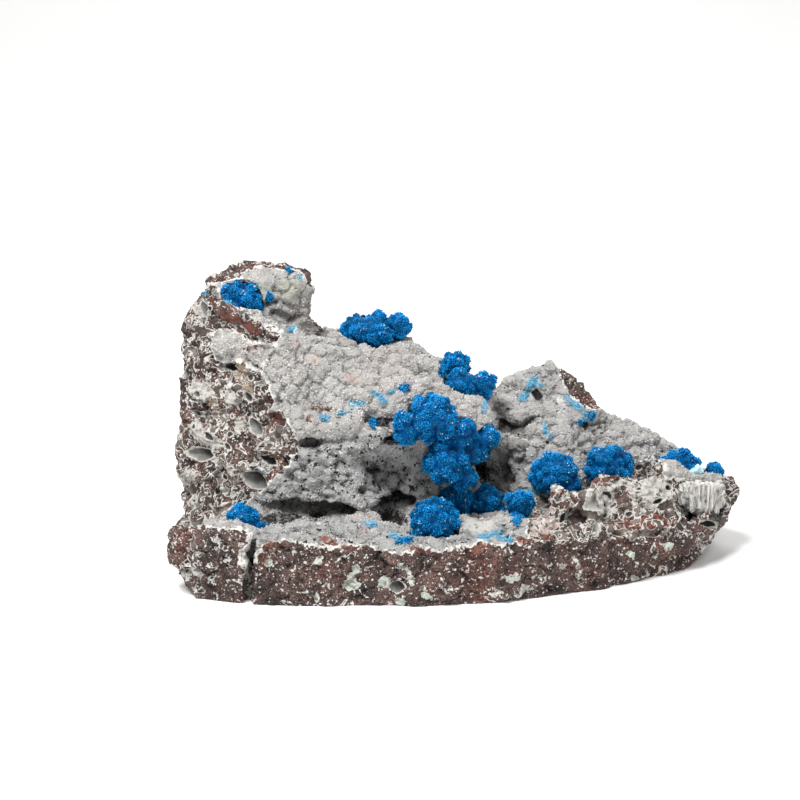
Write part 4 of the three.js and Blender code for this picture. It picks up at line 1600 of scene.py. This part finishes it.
@dataclass
class Rosette:
    """A group of cavansite balls: lobes set with needle crystals that point outwards."""

    node: str
    stone_tree: BVHTree
    lobe_spacing: float = 2.15
    lobe_radius: float = 1.65
    sunk: float = 0.95
    groove: float = 0.45
    needle_spacing: float = 0.46
    needle_width: float = 0.46
    core_voxel: float = 0.5
    form_voxel: float = 0.8
    ball_share: float = 0.74
    root: float = 0.3
    clearance: float = 0.84
    tries: int = 2600
    seed: int = 5

    def lobes(self, random: np.random.Generator) -> tuple[np.ndarray, np.ndarray, np.ndarray]:
        """Places the lobes over the node's own surface.

        Args:
            random: the source of randomness.

        Returns:
            Their middles, outward directions and radii.
        """
        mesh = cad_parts[self.node].data
        points = points_of(mesh)
        triangles = triangles_of(mesh)
        places, normals, _ = sample(points, triangles, self.tries, random)
        picked = spaced(places, self.lobe_spacing)
        out = normals[picked]
        middles = places[picked] - out * self.sunk
        radii = self.lobe_radius * (0.6 + 0.6 * random.random(len(picked)))
        return middles, out, radii

    def buried(self, places: np.ndarray) -> np.ndarray:
        """Tells which places lie well inside the stone.

        Args:
            places: places in millimetres.

        Returns:
            True for each place inside.
        """
        found = np.zeros(len(places), bool)
        for number, place in enumerate(places):
            near, normal, _, far = self.stone_tree.find_nearest(Vector(place))
            found[number] = far > 0.5 and (Vector(place) - near).dot(normal) < 0
        return found

    def core(self, middles: np.ndarray, radii: np.ndarray) -> bpy.types.Mesh:
        """Joins the node's form and its lobes in one knobbly body.

        Args:
            middles: the lobes' middles.
            radii: their radii.

        Returns:
            The body's mesh.
        """
        ball, faces = unit_ball()
        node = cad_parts[self.node].data
        form = remeshed(node, self.form_voxel, smoothing=2)
        parts = [points_of(form) - normals_of(form) * self.groove]
        numbers = [triangles_of(form)]
        start = len(parts[0])
        for middle, radius in zip(middles, radii):
            parts.append(middle + ball * radius * self.ball_share)
            numbers.append(faces + start)
            start += len(ball)
        joined = make_mesh("scratch_core", np.concatenate(parts), np.concatenate(numbers))
        return remeshed(joined, self.core_voxel, smoothing=1)

    def build(self, material: bpy.types.Material) -> bpy.types.Object:
        """Builds the group.

        Args:
            material: the finish of the crystals.

        Returns:
            The piece that stands for the node.
        """
        random = np.random.default_rng(self.seed)
        middles, out, radii = self.lobes(random)
        open_lobes = ~self.buried(middles + out * (radii * 0.7)[:, None])
        middles, out, radii = middles[open_lobes], out[open_lobes], radii[open_lobes]
        core = self.core(middles, radii)
        core_points = points_of(core)
        core_triangles = triangles_of(core)
        directions = even_directions(int(4 * math.pi * self.lobe_radius**2 / (0.87 * self.needle_spacing**2)))
        roots, axes, lengths = [], [], []
        for middle, way, radius in zip(middles, out, radii):
            wobble = directions + random.normal(size=directions.shape) * 0.11
            wobble /= np.linalg.norm(wobble, axis=1)[:, None]
            facing = wobble[wobble @ way > -0.1]
            length = radius * (0.86 + 0.3 * random.random(len(facing)) ** 2)
            tips = middle + facing * length[:, None]
            gaps = np.linalg.norm(tips[:, None, :] - middles[None, :, :], axis=2)
            clear = (gaps > radii[None, :] * self.clearance).all(axis=1)
            roots.append(np.repeat(middle[None, :], clear.sum(), axis=0) + facing[clear] * self.root)
            axes.append(facing[clear])
            lengths.append(length[clear] - self.root)
        roots = np.concatenate(roots)
        axes = np.concatenate(axes)
        lengths = np.concatenate(lengths)
        shown = ~self.buried(roots + axes * lengths[:, None])
        roots, axes, lengths = roots[shown], axes[shown], lengths[shown]
        cloud = Grain(self.seed).smooth(roots + axes * lengths[:, None], 1.3, 2)
        # Painted light: longer needles, which reach the outside of the ball, get a lighter tint.
        outer_painted_light = (lengths / lengths.mean() - 1) * 0.9
        tints = np.clip(0.43 + 0.45 * cloud + outer_painted_light + 0.2 * random.normal(size=len(roots)), 0, 1)
        # Painted glints: a few needles, more of them in some patches, are painted white.
        glints = Grain(self.seed + 7).smooth(roots + axes * lengths[:, None], 3.0, 2) > 0.1
        tints[random.random(len(roots)) > np.where(glints, 0.97, 0.997)] = PAINTED_GLINT_TINT
        batch = CrystalBatch(
            GrownCrystal(sides=3, waist=0.72),
            roots,
            axes,
            self.needle_width * (0.8 + 0.5 * random.random(len(roots))),
            lengths,
            tints,
            random.random(len(roots)) * FULL_TURN,
        )
        corners, faces, reach, tint = batch.arrays()
        index = KDTree(len(middles))
        for number, middle in enumerate(middles):
            index.insert(Vector(middle), number)
        index.balance()
        # Painted shade: the core under the needles gets a low reach, so it takes the dark root colour.
        core_reach = np.empty(len(core_points))
        for number, place in enumerate(core_points):
            _, lobe, far = index.find(Vector(place))
            near = far < radii[lobe] * 1.3
            core_reach[number] = np.clip(0.75 * far / radii[lobe] - 0.1 if near else 0.1, 0, 0.6)
        mesh = make_mesh(
            self.node + "_crystals",
            np.concatenate([core_points, corners]),
            np.concatenate([core_triangles, faces + len(core_points)]),
        )
        paint(mesh, "reach", np.concatenate([core_reach, reach]))
        paint(mesh, "tint", np.concatenate([np.full(len(core_points), 0.4), tint]))
        return add_piece(self.node + "_crystals", mesh, material, (self.node,))


def even_directions(count: int) -> np.ndarray:
    """Spreads unit vectors evenly over a sphere, on a spiral.

    Args:
        count: how many.

    Returns:
        The vectors, one row each.
    """
    steps = np.arange(count) + 0.5
    height = 1 - 2 * steps / count
    turn = steps * math.pi * (3 - math.sqrt(5))
    ring = np.sqrt(1 - height**2)
    return np.stack([ring * np.cos(turn), ring * np.sin(turn), height], axis=1)


def unit_ball(least: int = 300) -> tuple[np.ndarray, np.ndarray]:
    """Makes a small round mesh to join into others.

    Args:
        least: the least number of faces.

    Returns:
        Its corners and triangles.
    """
    golden = (1 + math.sqrt(5)) / 2
    corners = [(-1, golden, 0), (1, golden, 0), (-1, -golden, 0), (1, -golden, 0)]
    corners = [*corners, *[(c, a, b) for a, b, c in corners], *[(b, c, a) for a, b, c in corners]]
    points = np.array(corners, float)
    points /= np.linalg.norm(points, axis=1)[:, None]
    faces = []
    for i in range(12):
        for j in range(i + 1, 12):
            for k in range(j + 1, 12):
                sides = [points[i] - points[j], points[j] - points[k], points[k] - points[i]]
                if max(np.linalg.norm(side) for side in sides) < 1.1:
                    out = np.cross(points[j] - points[i], points[k] - points[i]) @ points[i] > 0
                    faces.append((i, j, k) if out else (i, k, j))
    while len(faces) < least:
        middles: dict[tuple[int, int], int] = {}
        finer = []
        listed = points.tolist()
        for face in faces:
            cut = []
            for one, two in zip(face, (*face[1:], face[0])):
                key = (min(one, two), max(one, two))
                if key not in middles:
                    half = points[one] + points[two]
                    middles[key] = len(listed)
                    listed.append((half / np.linalg.norm(half)).tolist())
                cut.append(middles[key])
            corner_faces = [(face[0], cut[0], cut[2]), (face[1], cut[1], cut[0]), (face[2], cut[2], cut[1])]
            finer += [*corner_faces, tuple(cut)]
        points = np.array(listed)
        faces = finer
    return points, np.array(faces)


@dataclass
class BladeSheaf:
    """A node of bladed stilbite, with striped faces and stepped ends."""

    node: str
    slot_name: str
    voxel: float = 0.3
    stripe: float = 0.95
    depth: float = 0.6
    seed: int = 21

    def build(self, material: bpy.types.Material) -> bpy.types.Object:
        """Builds the sheaf on the node's own form.

        Args:
            material: its finish.

        Returns:
            The piece that stands for the node.
        """
        mesh = remeshed(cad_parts[self.node].data, self.voxel, smoothing=1)
        points = points_of(mesh)
        normals = normals_of(mesh)
        grain = Grain(self.seed)
        middle = points.mean(axis=0)
        fan = points.copy()
        fan[:, 0] -= 0.35 * (points[:, 0] - middle[0]) * (points[:, 2] - middle[2]) / 6
        near, beside, label = grain.cells(fan * np.array([1, 0.6, 0.13]), self.stripe)
        groove = np.exp(-(((beside - near) / 0.12) ** 2))
        stripes = grain.smooth(fan * np.array([1, 1, 0.1]), 0.45, 2)
        height = self.depth * (label - 0.6) - 0.55 * self.depth * groove + 0.3 * self.depth * stripes
        height += 0.3 * self.depth * grain.smooth(points, 1.6, 2)
        set_points(mesh, points + normals * height[:, None])
        # Painted shade: the grooves between the blades get a lower reach and so a darker colour.
        paint(mesh, "reach", np.clip(0.6 + 0.45 * label + 0.3 * stripes - 0.55 * groove, 0, 1.1))
        paint(mesh, "tint", np.clip(0.15 + 0.7 * label + 0.3 * stripes, 0, 1))
        return add_piece(self.node + "_blades", mesh, material, (self.node,))


@dataclass
class Studio:
    """A pale curved floor, soft lamps and a white surround."""

    floor_width: float = 5.0
    floor_front: float = 3.0
    floor_depth: float = 1.6
    bend: float = 0.5
    wall: float = 2.2
    surround: float = 0.32
    aim: tuple[float, float, float] = (-0.01, 0, 0.035)

    def build(self) -> None:
        """Builds the floor, the lamps and the surround."""
        self.floor()
        self.lamp("key", (-0.35, -0.45, 1.0), 0.4, 16.5)
        self.lamp("fill", (0.75, -0.8, 0.5), 0.8, 2.5)
        self.lamp("back", (0.1, 0.7, 0.8), 0.6, 4.0)
        self.lamp("sparkle", (0.25, -0.7, 0.9), 0.06, 1.4)
        world = bpy.data.worlds.new("studio_air")
        world.use_nodes = True
        background = world.node_tree.nodes["Background"]
        background.inputs["Color"].default_value = (1, 1, 1, 1)
        background.inputs["Strength"].default_value = self.surround
        bpy.context.scene.world = world
        bpy.context.scene.view_settings.view_transform = "Standard"

    def floor(self) -> None:
        """Makes the floor, which curves up behind the specimen."""
        steps = 16
        line = [(-self.floor_front, 0.0)]
        for step in range(steps + 1):
            turn = math.pi / 2 * step / steps
            line.append((self.floor_depth / 2 + self.bend * math.sin(turn), self.bend * (1 - math.cos(turn))))
        line.append((self.floor_depth / 2 + self.bend, self.wall))
        half = self.floor_width / 2
        corners = [(x, y, z) for y, z in line for x in (-half, half)]
        faces = [(2 * k, 2 * k + 1, 2 * k + 3, 2 * k + 2) for k in range(len(line) - 1)]
        mesh = bpy.data.meshes.new("studio_floor")
        mesh.from_pydata(corners, [], faces)
        for polygon in mesh.polygons:
            polygon.use_smooth = True
        paper = bpy.data.materials.new("matt_paper_backdrop")
        paper.use_nodes = True
        shader = paper.node_tree.nodes["Principled BSDF"]
        shader.inputs["Base Color"].default_value = linear(Tone.STUDIO)
        shader.inputs["Roughness"].default_value = 0.9
        mesh.materials.append(paper)
        floor = bpy.data.objects.new("studio_floor", mesh)
        bpy.context.scene.collection.objects.link(floor)

    def lamp(self, name: str, place: tuple[float, float, float], size: float, power: float) -> None:
        """Hangs one soft square lamp that points at the specimen.

        Args:
            name: its name.
            place: where it hangs, in metres.
            size: the length of its sides, in metres.
            power: its power in watts.
        """
        data = bpy.data.lights.new(name, "AREA")
        data.shape = "SQUARE"
        data.size = size
        data.energy = power
        lamp = bpy.data.objects.new(name, data)
        lamp.location = place
        way = Vector(self.aim) - Vector(place)
        lamp.rotation_euler = way.to_track_quat("-Z", "Y").to_euler()
        bpy.context.scene.collection.objects.link(lamp)


TOWER_HOLES = (
    Vesicle((204, 308), (9, 4), 80, 1.2, 0.45),
    Vesicle((229, 367), (10, 4), 20, 2.6, 0.0),
    Vesicle((258, 367), (8, 2.2), 25, 1.4, 0.0),
    Vesicle((248, 397), (7, 3), 60, 1.4, 0.2),
    Vesicle((208, 382), (4, 3), 70, 0.7, 0.9),
    Vesicle((197, 394), (4, 3), 70, 1.0, 0.4),
    Vesicle((198, 413), (5, 2.2), 40, 1.2, 0.0),
    Vesicle((255, 427), (11.5, 6), 55, 2.0, 0.6),
    Vesicle((211, 437), (6, 2.5), 55, 1.0, 0.1),
    Vesicle((226, 446), (5.5, 3), 45, 1.3, 0.1),
    Vesicle((200, 454), (14, 7.5), 8, 2.6, 0.5),
    Vesicle((268, 460), (11, 4.2), 25, 2.2, 0.0),
    Vesicle((255, 480), (13.5, 9), 25, 2.8, 0.75),
    Vesicle((197, 519), (8, 6), 0, 1.0, 0.25),
    Vesicle((182, 374), (4.5, 3), 60, 0.8, 0.9),
)

RIM_HOLES = (
    Vesicle((599, 501), (16, 10), -25, 1.3, 1.0),
    Vesicle((606, 504), (6, 2.5), 50, 2.4, 0.0),
    Vesicle((564, 517), (9, 4), -55, 1.3, 0.0),
    Vesicle((548, 507), (6, 3), -20, 1.0, 0.9),
    Vesicle((640, 488), (3.5, 3), 0, 1.3, 0.05),
    Vesicle((637, 495), (3, 2), 0, 1.3, 0.0),
    Vesicle((670, 487), (2.5, 3.5), 0, 1.5, 0.0),
    Vesicle((659, 501), (6, 3), -20, 1.8, 0.1),
    Vesicle((692, 516), (8, 6), 30, 3.2, 0.1),
    Vesicle((710, 524), (10, 4), 10, 2.4, 0.05),
    Vesicle((397, 587), (9, 7), 0, 1.8, 0.3),
    Vesicle((537, 394), (6.5, 6.5), 0, 2.2, 0.06),
    Vesicle((587, 425), (4.5, 5.5), 0, 2.0, 0.06),
    Vesicle((548, 441), (3.6, 3), 0, 1.6, 0.06),
)

TOWER_STAINS = (
    Stain(Tone.ASH_PALE, (
        (184, 428), (192, 420), (205, 422), (216, 434), (224, 441), (219, 452), (207, 449), (196, 443),
    )),
    Stain(Tone.ASH_PALE, ((176, 484), (180, 472), (190, 468), (201, 474), (197, 480), (186, 488))),
    Stain(Tone.ASH_PALE, ((188, 505), (196, 491), (205, 500), (203, 509), (193, 512))),
    Stain(Tone.ASH_PALE, ((206, 452), (215, 455), (226, 464), (222, 468), (206, 460))),
    Stain(Tone.ASH_PALE, (
        (189, 379), (200, 378), (212, 386), (219, 398), (207, 402), (196, 402), (189, 392),
    )),
    Stain(Tone.ASH_PALE, ((193, 306), (199, 302), (206, 322), (204, 331), (197, 322))),
    Stain(Tone.PALE_BLUE, ((256, 467), (262, 464), (271, 471), (266, 476), (259, 473))),
    Stain(Tone.RUST_DARK, (
        (216, 311), (223, 309), (231, 316), (245, 314), (256, 325), (262, 333), (252, 335), (240, 325),
        (226, 322),
    )),
    Stain(Tone.RUST_DARK, (
        (244, 348), (252, 346), (262, 342), (265, 345), (256, 350), (250, 354), (245, 352),
    )),
    Stain(Tone.RUST_DARK, ((268, 413), (279, 412), (284, 424), (276, 426), (270, 422))),
    Stain(Tone.RUST_DARK, ((204, 514), (210, 512), (212, 518), (209, 522), (205, 520))),
    Stain(Tone.RUST_DARK, ((208, 300), (215, 298), (216, 305), (211, 306))),
    Stain(Tone.TAN, ((232, 366), (244, 360), (250, 372), (254, 392), (249, 396), (240, 384), (234, 376))),
    Blot(Tone.CREAM, (251, 367), (6, 3), 20),
    Blot(Tone.ASH_PALE, (231, 398), (12, 7), 50),
    Blot(Tone.ASH_PALE, (240, 425), (6, 10), 20),
    Blot(Tone.ASH_PALE, (231, 470), (10, 5), 30),
    Blot(Tone.TAN, (214, 404), (9, 4), 40),
)

ROOF_STAINS = (
    Blot(Tone.DRUSE_PINK, (296, 342), (5, 4)),
    Blot(Tone.DRUSE_PINK, (314, 359), (8, 6)),
    Blot(Tone.DRUSE_PINK, (352, 378), (12, 5), 10),
    Stain(Tone.RUST_DARK, (
        (303, 407), (318, 405), (330, 407), (336, 410), (328, 412), (320, 413), (311, 411),
    )),
    Stain(Tone.RUST_DARK, ((305, 419), (309, 414), (315, 415), (313, 421), (308, 424))),
    Blot(Tone.CYAN_BRIGHT, (324, 418), (5, 3), 15),
    Blot(Tone.CYAN_BRIGHT, (289, 332), (2.5, 2), -40),
    Blot(Tone.CYAN_PALE, (294, 329), (6, 3), -10),
    Blot(Tone.CYAN_BRIGHT, (383, 399), (6, 3.5), 35),
    Blot(Tone.CYAN_BRIGHT, (391, 391), (3, 2), 0),
    Blot(Tone.CYAN_PALE, (355, 404), (8, 2.5), 10),
    Blot(Tone.CYAN, (289, 270), (3, 2), 0),
    Blot(Tone.CYAN, (301, 278), (2, 2), 0),
    Blot(Tone.DRUSE_GREEN, (262, 292), (14, 10), 20),
    Blot(Tone.DRUSE_GREEN, (290, 290), (14, 12), 60),
    Blot(Tone.CREAM, (244, 302), (9, 2.5), 35),
)

# Painted shadow: near-black patches where the gap at the foot, the hollows under the lip and a few clefts lie
# in shade.
HOLLOW_PAINTED_SHADOWS = (
    Blot(Tone.CREVICE, (276, 519), (33, 6), -4),
    Blot(Tone.CREVICE, (247, 510), (9, 6), 30),
    Blot(Tone.CREVICE, (318, 514), (9, 6), 0),
    Blot(Tone.CREVICE, (393, 516), (18, 8), 15),
    Blot(Tone.CREVICE, (384, 419), (14, 4), 8),
    Blot(Tone.CREVICE, (515, 432), (13, 3), 15),
    Blot(Tone.CREVICE, (484, 468), (5, 17), -25),
)

PEAK_STAINS = (
    Blot(Tone.CYAN_BRIGHT, (533, 384), (8, 3.2), -60),
    Blot(Tone.CYAN_BRIGHT, (525, 397), (5, 3), -45),
    Blot(Tone.CYAN_BRIGHT, (577, 407), (9, 3), 35),
    Blot(Tone.CYAN, (591, 415), (4, 4), 0),
    Blot(Tone.CYAN_BRIGHT, (580, 422), (4, 2.5), 0),
    Blot(Tone.CYAN_BRIGHT, (545, 432), (3, 6), 0),
    Blot(Tone.CYAN, (533, 492), (7, 2), -8),
    Blot(Tone.DRUSE_SHADE, (517, 445), (15, 7), 10),
    Blot(Tone.CREAM, (560, 402), (7, 4), 40),
)

FLOOR_STAINS = (
    Stain(Tone.RUST, ((315, 538), (322, 535), (335, 538), (341, 546), (334, 547), (320, 543))),
    Blot(Tone.RUST, (362, 531), (6, 2.5), -10),
    Blot(Tone.RUST, (350, 548), (9, 2.2), -5),
    Blot(Tone.RUST, (420, 550), (14, 3.5), 15),
    Blot(Tone.RUST, (479, 548), (12, 5), -30),
    Blot(Tone.RUST, (520, 540), (16, 4), 5),
    Blot(Tone.RUST, (549, 537), (10, 3), 10),
    Stain(Tone.RUST, (
        (600, 522), (615, 520), (640, 516), (660, 512), (674, 520), (670, 532), (650, 530), (620, 528),
    )),
    Blot(Tone.RUST, (668, 553), (4, 3.5), 0),
    Blot(Tone.RUST, (736, 501), (4, 6), 20),
    Blot(Tone.RUST, (271, 545), (14, 2.5), -4),
    Blot(Tone.CYAN_PALE, (371, 525), (7, 3), 15),
    Blot(Tone.CYAN_BRIGHT, (393, 535), (5, 2), 10),
    Blot(Tone.CYAN, (411, 536), (4, 4), 40),
    Blot(Tone.CYAN_BRIGHT, (488, 536), (11, 3), -12),
    Blot(Tone.CYAN_PALE, (505, 538), (8, 3), 0),
    Blot(Tone.GREY, (479, 524), (20, 8), 0),
    Blot(Tone.AMYGDULE, (269, 564), (4.2, 4.2)),
    Blot(Tone.AMYGDULE, (318, 561), (6, 4), -35),
    Blot(Tone.AMYGDULE, (356, 569), (5, 5)),
    Blot(Tone.AMYGDULE, (351, 576), (4, 3)),
    Blot(Tone.AMYGDULE, (351, 585), (9.5, 6)),
    Blot(Tone.AMYGDULE, (384, 582), (6.8, 6)),
    Blot(Tone.AMYGDULE, (400, 602), (6.5, 4)),
    Blot(Tone.AMYGDULE, (427, 597), (7, 3.5), 30),
    Blot(Tone.AMYGDULE, (411, 582), (3.5, 5.5), -20),
    Blot(Tone.CREAM, (454, 589), (8, 2.6), -12),
    Blot(Tone.AMYGDULE, (513, 579), (8, 4), -5),
    Blot(Tone.CREAM, (526, 590), (11, 5), -15),
    Blot(Tone.CREAM, (495, 594), (12, 3), 0),
    Blot(Tone.AMYGDULE, (668, 546), (5.5, 4), -20),
    Blot(Tone.AMYGDULE, (630, 554), (4, 3), 20),
    Blot(Tone.AMYGDULE, (656, 559), (3, 2), 0),
    Blot(Tone.AMYGDULE, (634, 578), (4, 3), 0),
    Stain(Tone.CREAM, (
        (565, 551), (576, 557), (582, 566), (580, 576), (584, 587), (580, 588), (576, 576), (578, 567),
        (573, 559),
    )),
    Stain(Tone.CREAM, ((400, 560), (412, 572), (416, 583), (411, 584), (406, 574), (396, 566))),
    Stain(Tone.GREY, ((182, 568), (204, 568), (206, 578), (192, 578), (183, 574))),
    Stain(Tone.CREAM, ((695, 535), (702, 538), (709, 556), (703, 562), (698, 548))),
    Stain(Tone.CREAM, ((240, 550), (249, 545), (251, 560), (253, 588), (249, 602), (245, 582), (241, 566))),
)

DENTS = (
    Dent((388, 480), (30, 20), 15, 0.5),
    Dent((374, 469), (8, 6), 0, 1.8),
    Dent((396, 492), (8, 5), 20, 1.8),
    Dent((362, 490), (6, 5), 0, 1.6),
    Dent((406, 470), (6, 7), 0, 1.6),
    Dent((384, 500), (9, 4), 0, 1.8),
    Dent((365, 346), (20, 6), 0, 1.0),
    Dent((550, 370), (7, 6), 0, -2.2),
    Dent((288, 476), (12, 7), 25, 1.0),
    Dent((352, 452), (8, 5), -20, 1.2),
    Dent((330, 498), (9, 4), 10, 1.2),
    Dent((481, 513), (24, 9), 0, 2.4),
    Dent((340, 466), (9, 7), 30, 1.4),
    Dent((318, 486), (10, 6), -20, 1.2),
    Dent((505, 470), (9, 8), 0, 1.6),
    Dent((520, 462), (8, 6), 20, 1.4),
    Dent((393, 516), (19, 8), 15, 3.0),
    Dent((318, 513), (9, 7), 0, 3.0),
    Dent((520, 417), (22, 7), 0, -2.6),
    Dent((228, 311), (16, 10), 38, -2.6),
    Dent((470, 409), (15, 12), 30, -1.2),
    Dent((516, 444), (16, 8), 10, -1.5),
    Dent((226, 346), (14, 14), 0, -1.8),
    Dent((203, 432), (17, 13), 30, -1.2),
)

CRACKS = (
    Crack(((370, 417), (382, 420), (396, 422)), 1.3, 3.5),
    Crack(((306, 441), (330, 443), (354, 440), (362, 427), (366, 418)), 1.0, 1.6),
    Crack(((477, 450), (481, 465), (486, 478), (491, 489)), 1.4, 4.0),
    Crack(((500, 429), (512, 431), (528, 436)), 1.3, 2.6),
    Crack(((452, 421), (468, 421)), 1.2, 3.0),
    Crack(((240, 288), (247, 300), (262, 304), (276, 303)), 0.8, 1.2),
    Crack(((274, 313), (290, 320), (300, 316)), 0.9, 2.0),
    Crack(((266, 304), (280, 300), (292, 309)), 0.7, 1.2),
    Crack(((292, 352), (297, 357), (300, 352)), 0.6, 1.0),
    Crack(((310, 369), (318, 376), (326, 380)), 0.6, 0.9),
    Crack(((490, 470), (500, 478), (512, 480)), 0.9, 1.6),
    Crack(((580, 446), (590, 440), (598, 442)), 0.7, 1.2),
    Crack(((262, 533), (285, 528), (305, 531)), 0.7, 1.0),
    Crack(((330, 532), (350, 537), (372, 534)), 0.7, 1.0),
    Crack(((425, 531), (440, 536), (460, 532)), 0.7, 1.0),
    Crack(((450, 541), (470, 536), (492, 541)), 0.7, 0.9),
    Crack(((344, 395), (356, 401), (372, 402), (384, 408)), 0.7, 1.0),
    Crack(((286, 446), (300, 458), (304, 472)), 0.7, 1.2),
    Crack(((322, 462), (336, 474), (350, 476)), 0.7, 1.2),
    Crack(((410, 350), (424, 360), (430, 372)), 0.7, 1.0),
    Crack(((625, 452), (634, 444), (643, 446)), 0.8, 1.4),
)

RIM_STAINS = (
    Blot(Tone.ASH_PALE, (612, 497), (30, 18), -12),
    Blot(Tone.ASH_PALE, (655, 492), (16, 18), 0),
    Stain(Tone.BASALT, (
        (582, 505), (592, 508), (590, 520), (583, 530), (568, 532), (560, 530), (567, 520), (575, 512),
    )),
    Stain(Tone.BASALT, ((616, 490), (625, 488), (632, 500), (633, 512), (620, 516), (616, 505))),
    Stain(Tone.RUST, ((583, 484), (600, 476), (630, 470), (632, 474), (620, 478), (598, 487), (584, 491))),
    Stain(Tone.RUST, ((541, 495), (560, 490), (568, 489), (568, 493), (552, 497), (542, 498))),
    Stain(Tone.BASALT, ((648, 464), (656, 462), (664, 470), (662, 475), (652, 472), (645, 470))),
    Stain(Tone.DRUSE_PINK, ((532, 505), (548, 500), (556, 512), (560, 530), (545, 536), (530, 534))),
    Stain(Tone.BASALT, ((703, 533), (712, 530), (717, 538), (712, 543), (704, 541))),
)

BLUE_SPRAYS = (
    Spray((373, 423), (4, 6), 0, 0.9),
    Spray((269, 297), (3.5, 4.5), 0, 0.7),
    Spray((289, 270), (3.5, 3), 0, 0.4),
    Spray((591, 415), (4, 4), 0, 0.3),
    Spray((580, 422), (3, 2), 0, 0.2),
    Spray((404, 388), (4, 5), 60, 0.5),
    Spray((441, 372), (3, 6), 0, 0.5),
    Spray((398, 432), (4, 4), 0, 0.3),
    Spray((405, 541), (9, 3), -15, 0.3),
    Spray((517, 520), (4, 8), 0, 0.3),
    Spray((488, 446), (3, 14), 5, 0.3),
)

CYAN_SPRAYS = (
    Spray((379, 397), (10, 3), 40),
    Spray((391, 391), (4, 2), 0),
    Spray((324, 417), (7, 3), 15),
    Spray((342, 413), (8, 2), -10),
    Spray((357, 403), (9, 2.5), 10),
    Spray((290, 330), (5, 2.5), -30),
    Spray((300, 278), (2.5, 3), 0),
    Spray((203, 291), (7, 3), 45),
    Spray((531, 384), (9, 4), -60),
    Spray((524, 397), (6, 4), -50),
    Spray((573, 404), (11, 4), 35),
    Spray((588, 417), (7, 5), 0),
    Spray((545, 429), (2, 8), 0),
    Spray((551, 436), (2, 4), 30),
    Spray((529, 386), (5, 2), 80),
    Spray((540, 385), (6, 2), -20),
    Spray((371, 525), (8, 3), 15),
    Spray((396, 537), (8, 2.5), 10),
    Spray((490, 535), (14, 3), -12),
    Spray((506, 540), (10, 2.5), 10),
    Spray((530, 492), (9, 2), -8),
    Spray((414, 533), (5, 4), 40),
    Spray((484, 408), (3, 8), 0),
    Spray((234, 302), (12, 3), 5),
)


def main() -> None:
    """Builds the pieces of the specimen, then the studio round it."""
    logging.basicConfig(level=logging.INFO, format="%(message)s")
    camera = PhotoCamera()
    camera.make()
    stains_and_shadows = (*ROOF_STAINS, *TOWER_STAINS, *RIM_STAINS, *PEAK_STAINS, *HOLLOW_PAINTED_SHADOWS, *FLOOR_STAINS)
    holes = (*TOWER_HOLES, *RIM_HOLES)
    forms = MatrixStone(camera, stains_and_shadows=stains_and_shadows, vesicles=holes, dents=DENTS, cracks=CRACKS)
    stone = forms.build(BasaltAndDruse().make())
    # Painted shade: the low dimmest value turns crystals in enclosed places almost black.
    sugar = CrystalFinish(
        "zeolite_druse", Tone.DRUSE_SHADE, Tone.DRUSE, Tone.DRUSE_TIP, 0.7, 1.5,
        dimmest=0.08, brightest=1.22, gloss=0.3,
    ).make()
    DruseCrust(stone, "druse_crystals_left", -90, -22, seed=3).build(sugar)
    DruseCrust(stone, "druse_crystals_right", -22, 90, seed=4).build(sugar)
    blue = CrystalFinish(
        "cavansite_needles", Tone.BLUE_DEEP, Tone.BLUE, Tone.BLUE_TIP, 0.35, 1.54,
        dimmest=0.35, brightest=1.75, gloss=0.05,
    ).make()
    stone_tree = tree_of(stone.data)
    for number, node in enumerate(sorted(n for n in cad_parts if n.startswith("cavansite"))):
        Rosette(node, stone_tree, seed=40 + number).build(blue)
    CrystalSprays("cavansite_small_crystals", camera, stone_tree, BLUE_SPRAYS).build(blue)
    light = CrystalFinish(
        "cavansite_thin_sprays", Tone.CYAN, Tone.CYAN_BRIGHT, Tone.CYAN_PALE, 0.45, 1.54,
        dimmest=0.7, brightest=1.3, gloss=0.2,
    ).make()
    CrystalSprays("cavansite_thin_crystals", camera, stone_tree, CYAN_SPRAYS, 1.3, 0.17, 78).build(light)
    pearly = CrystalFinish(
        "stilbite_blades", Tone.DRUSE_SHADE, Tone.GREY, Tone.CREAM, 0.45, 1.49, dimmest=0.8, brightest=1.2
    ).make()
    BladeSheaf("stilbite_tuft", "stilbite").build(pearly)
    pale = CrystalFinish(
        "stilbite_blue_blade", Tone.CYAN_PALE, Tone.BLADE_BLUE, Tone.BLADE_BLUE, 0.3, 1.49
    ).make()
    BladeSheaf("stilbite_blade", "blue_stilbite", depth=0.12).build(pale)
    Studio().build()


if __name__ == "__main__":
    main()
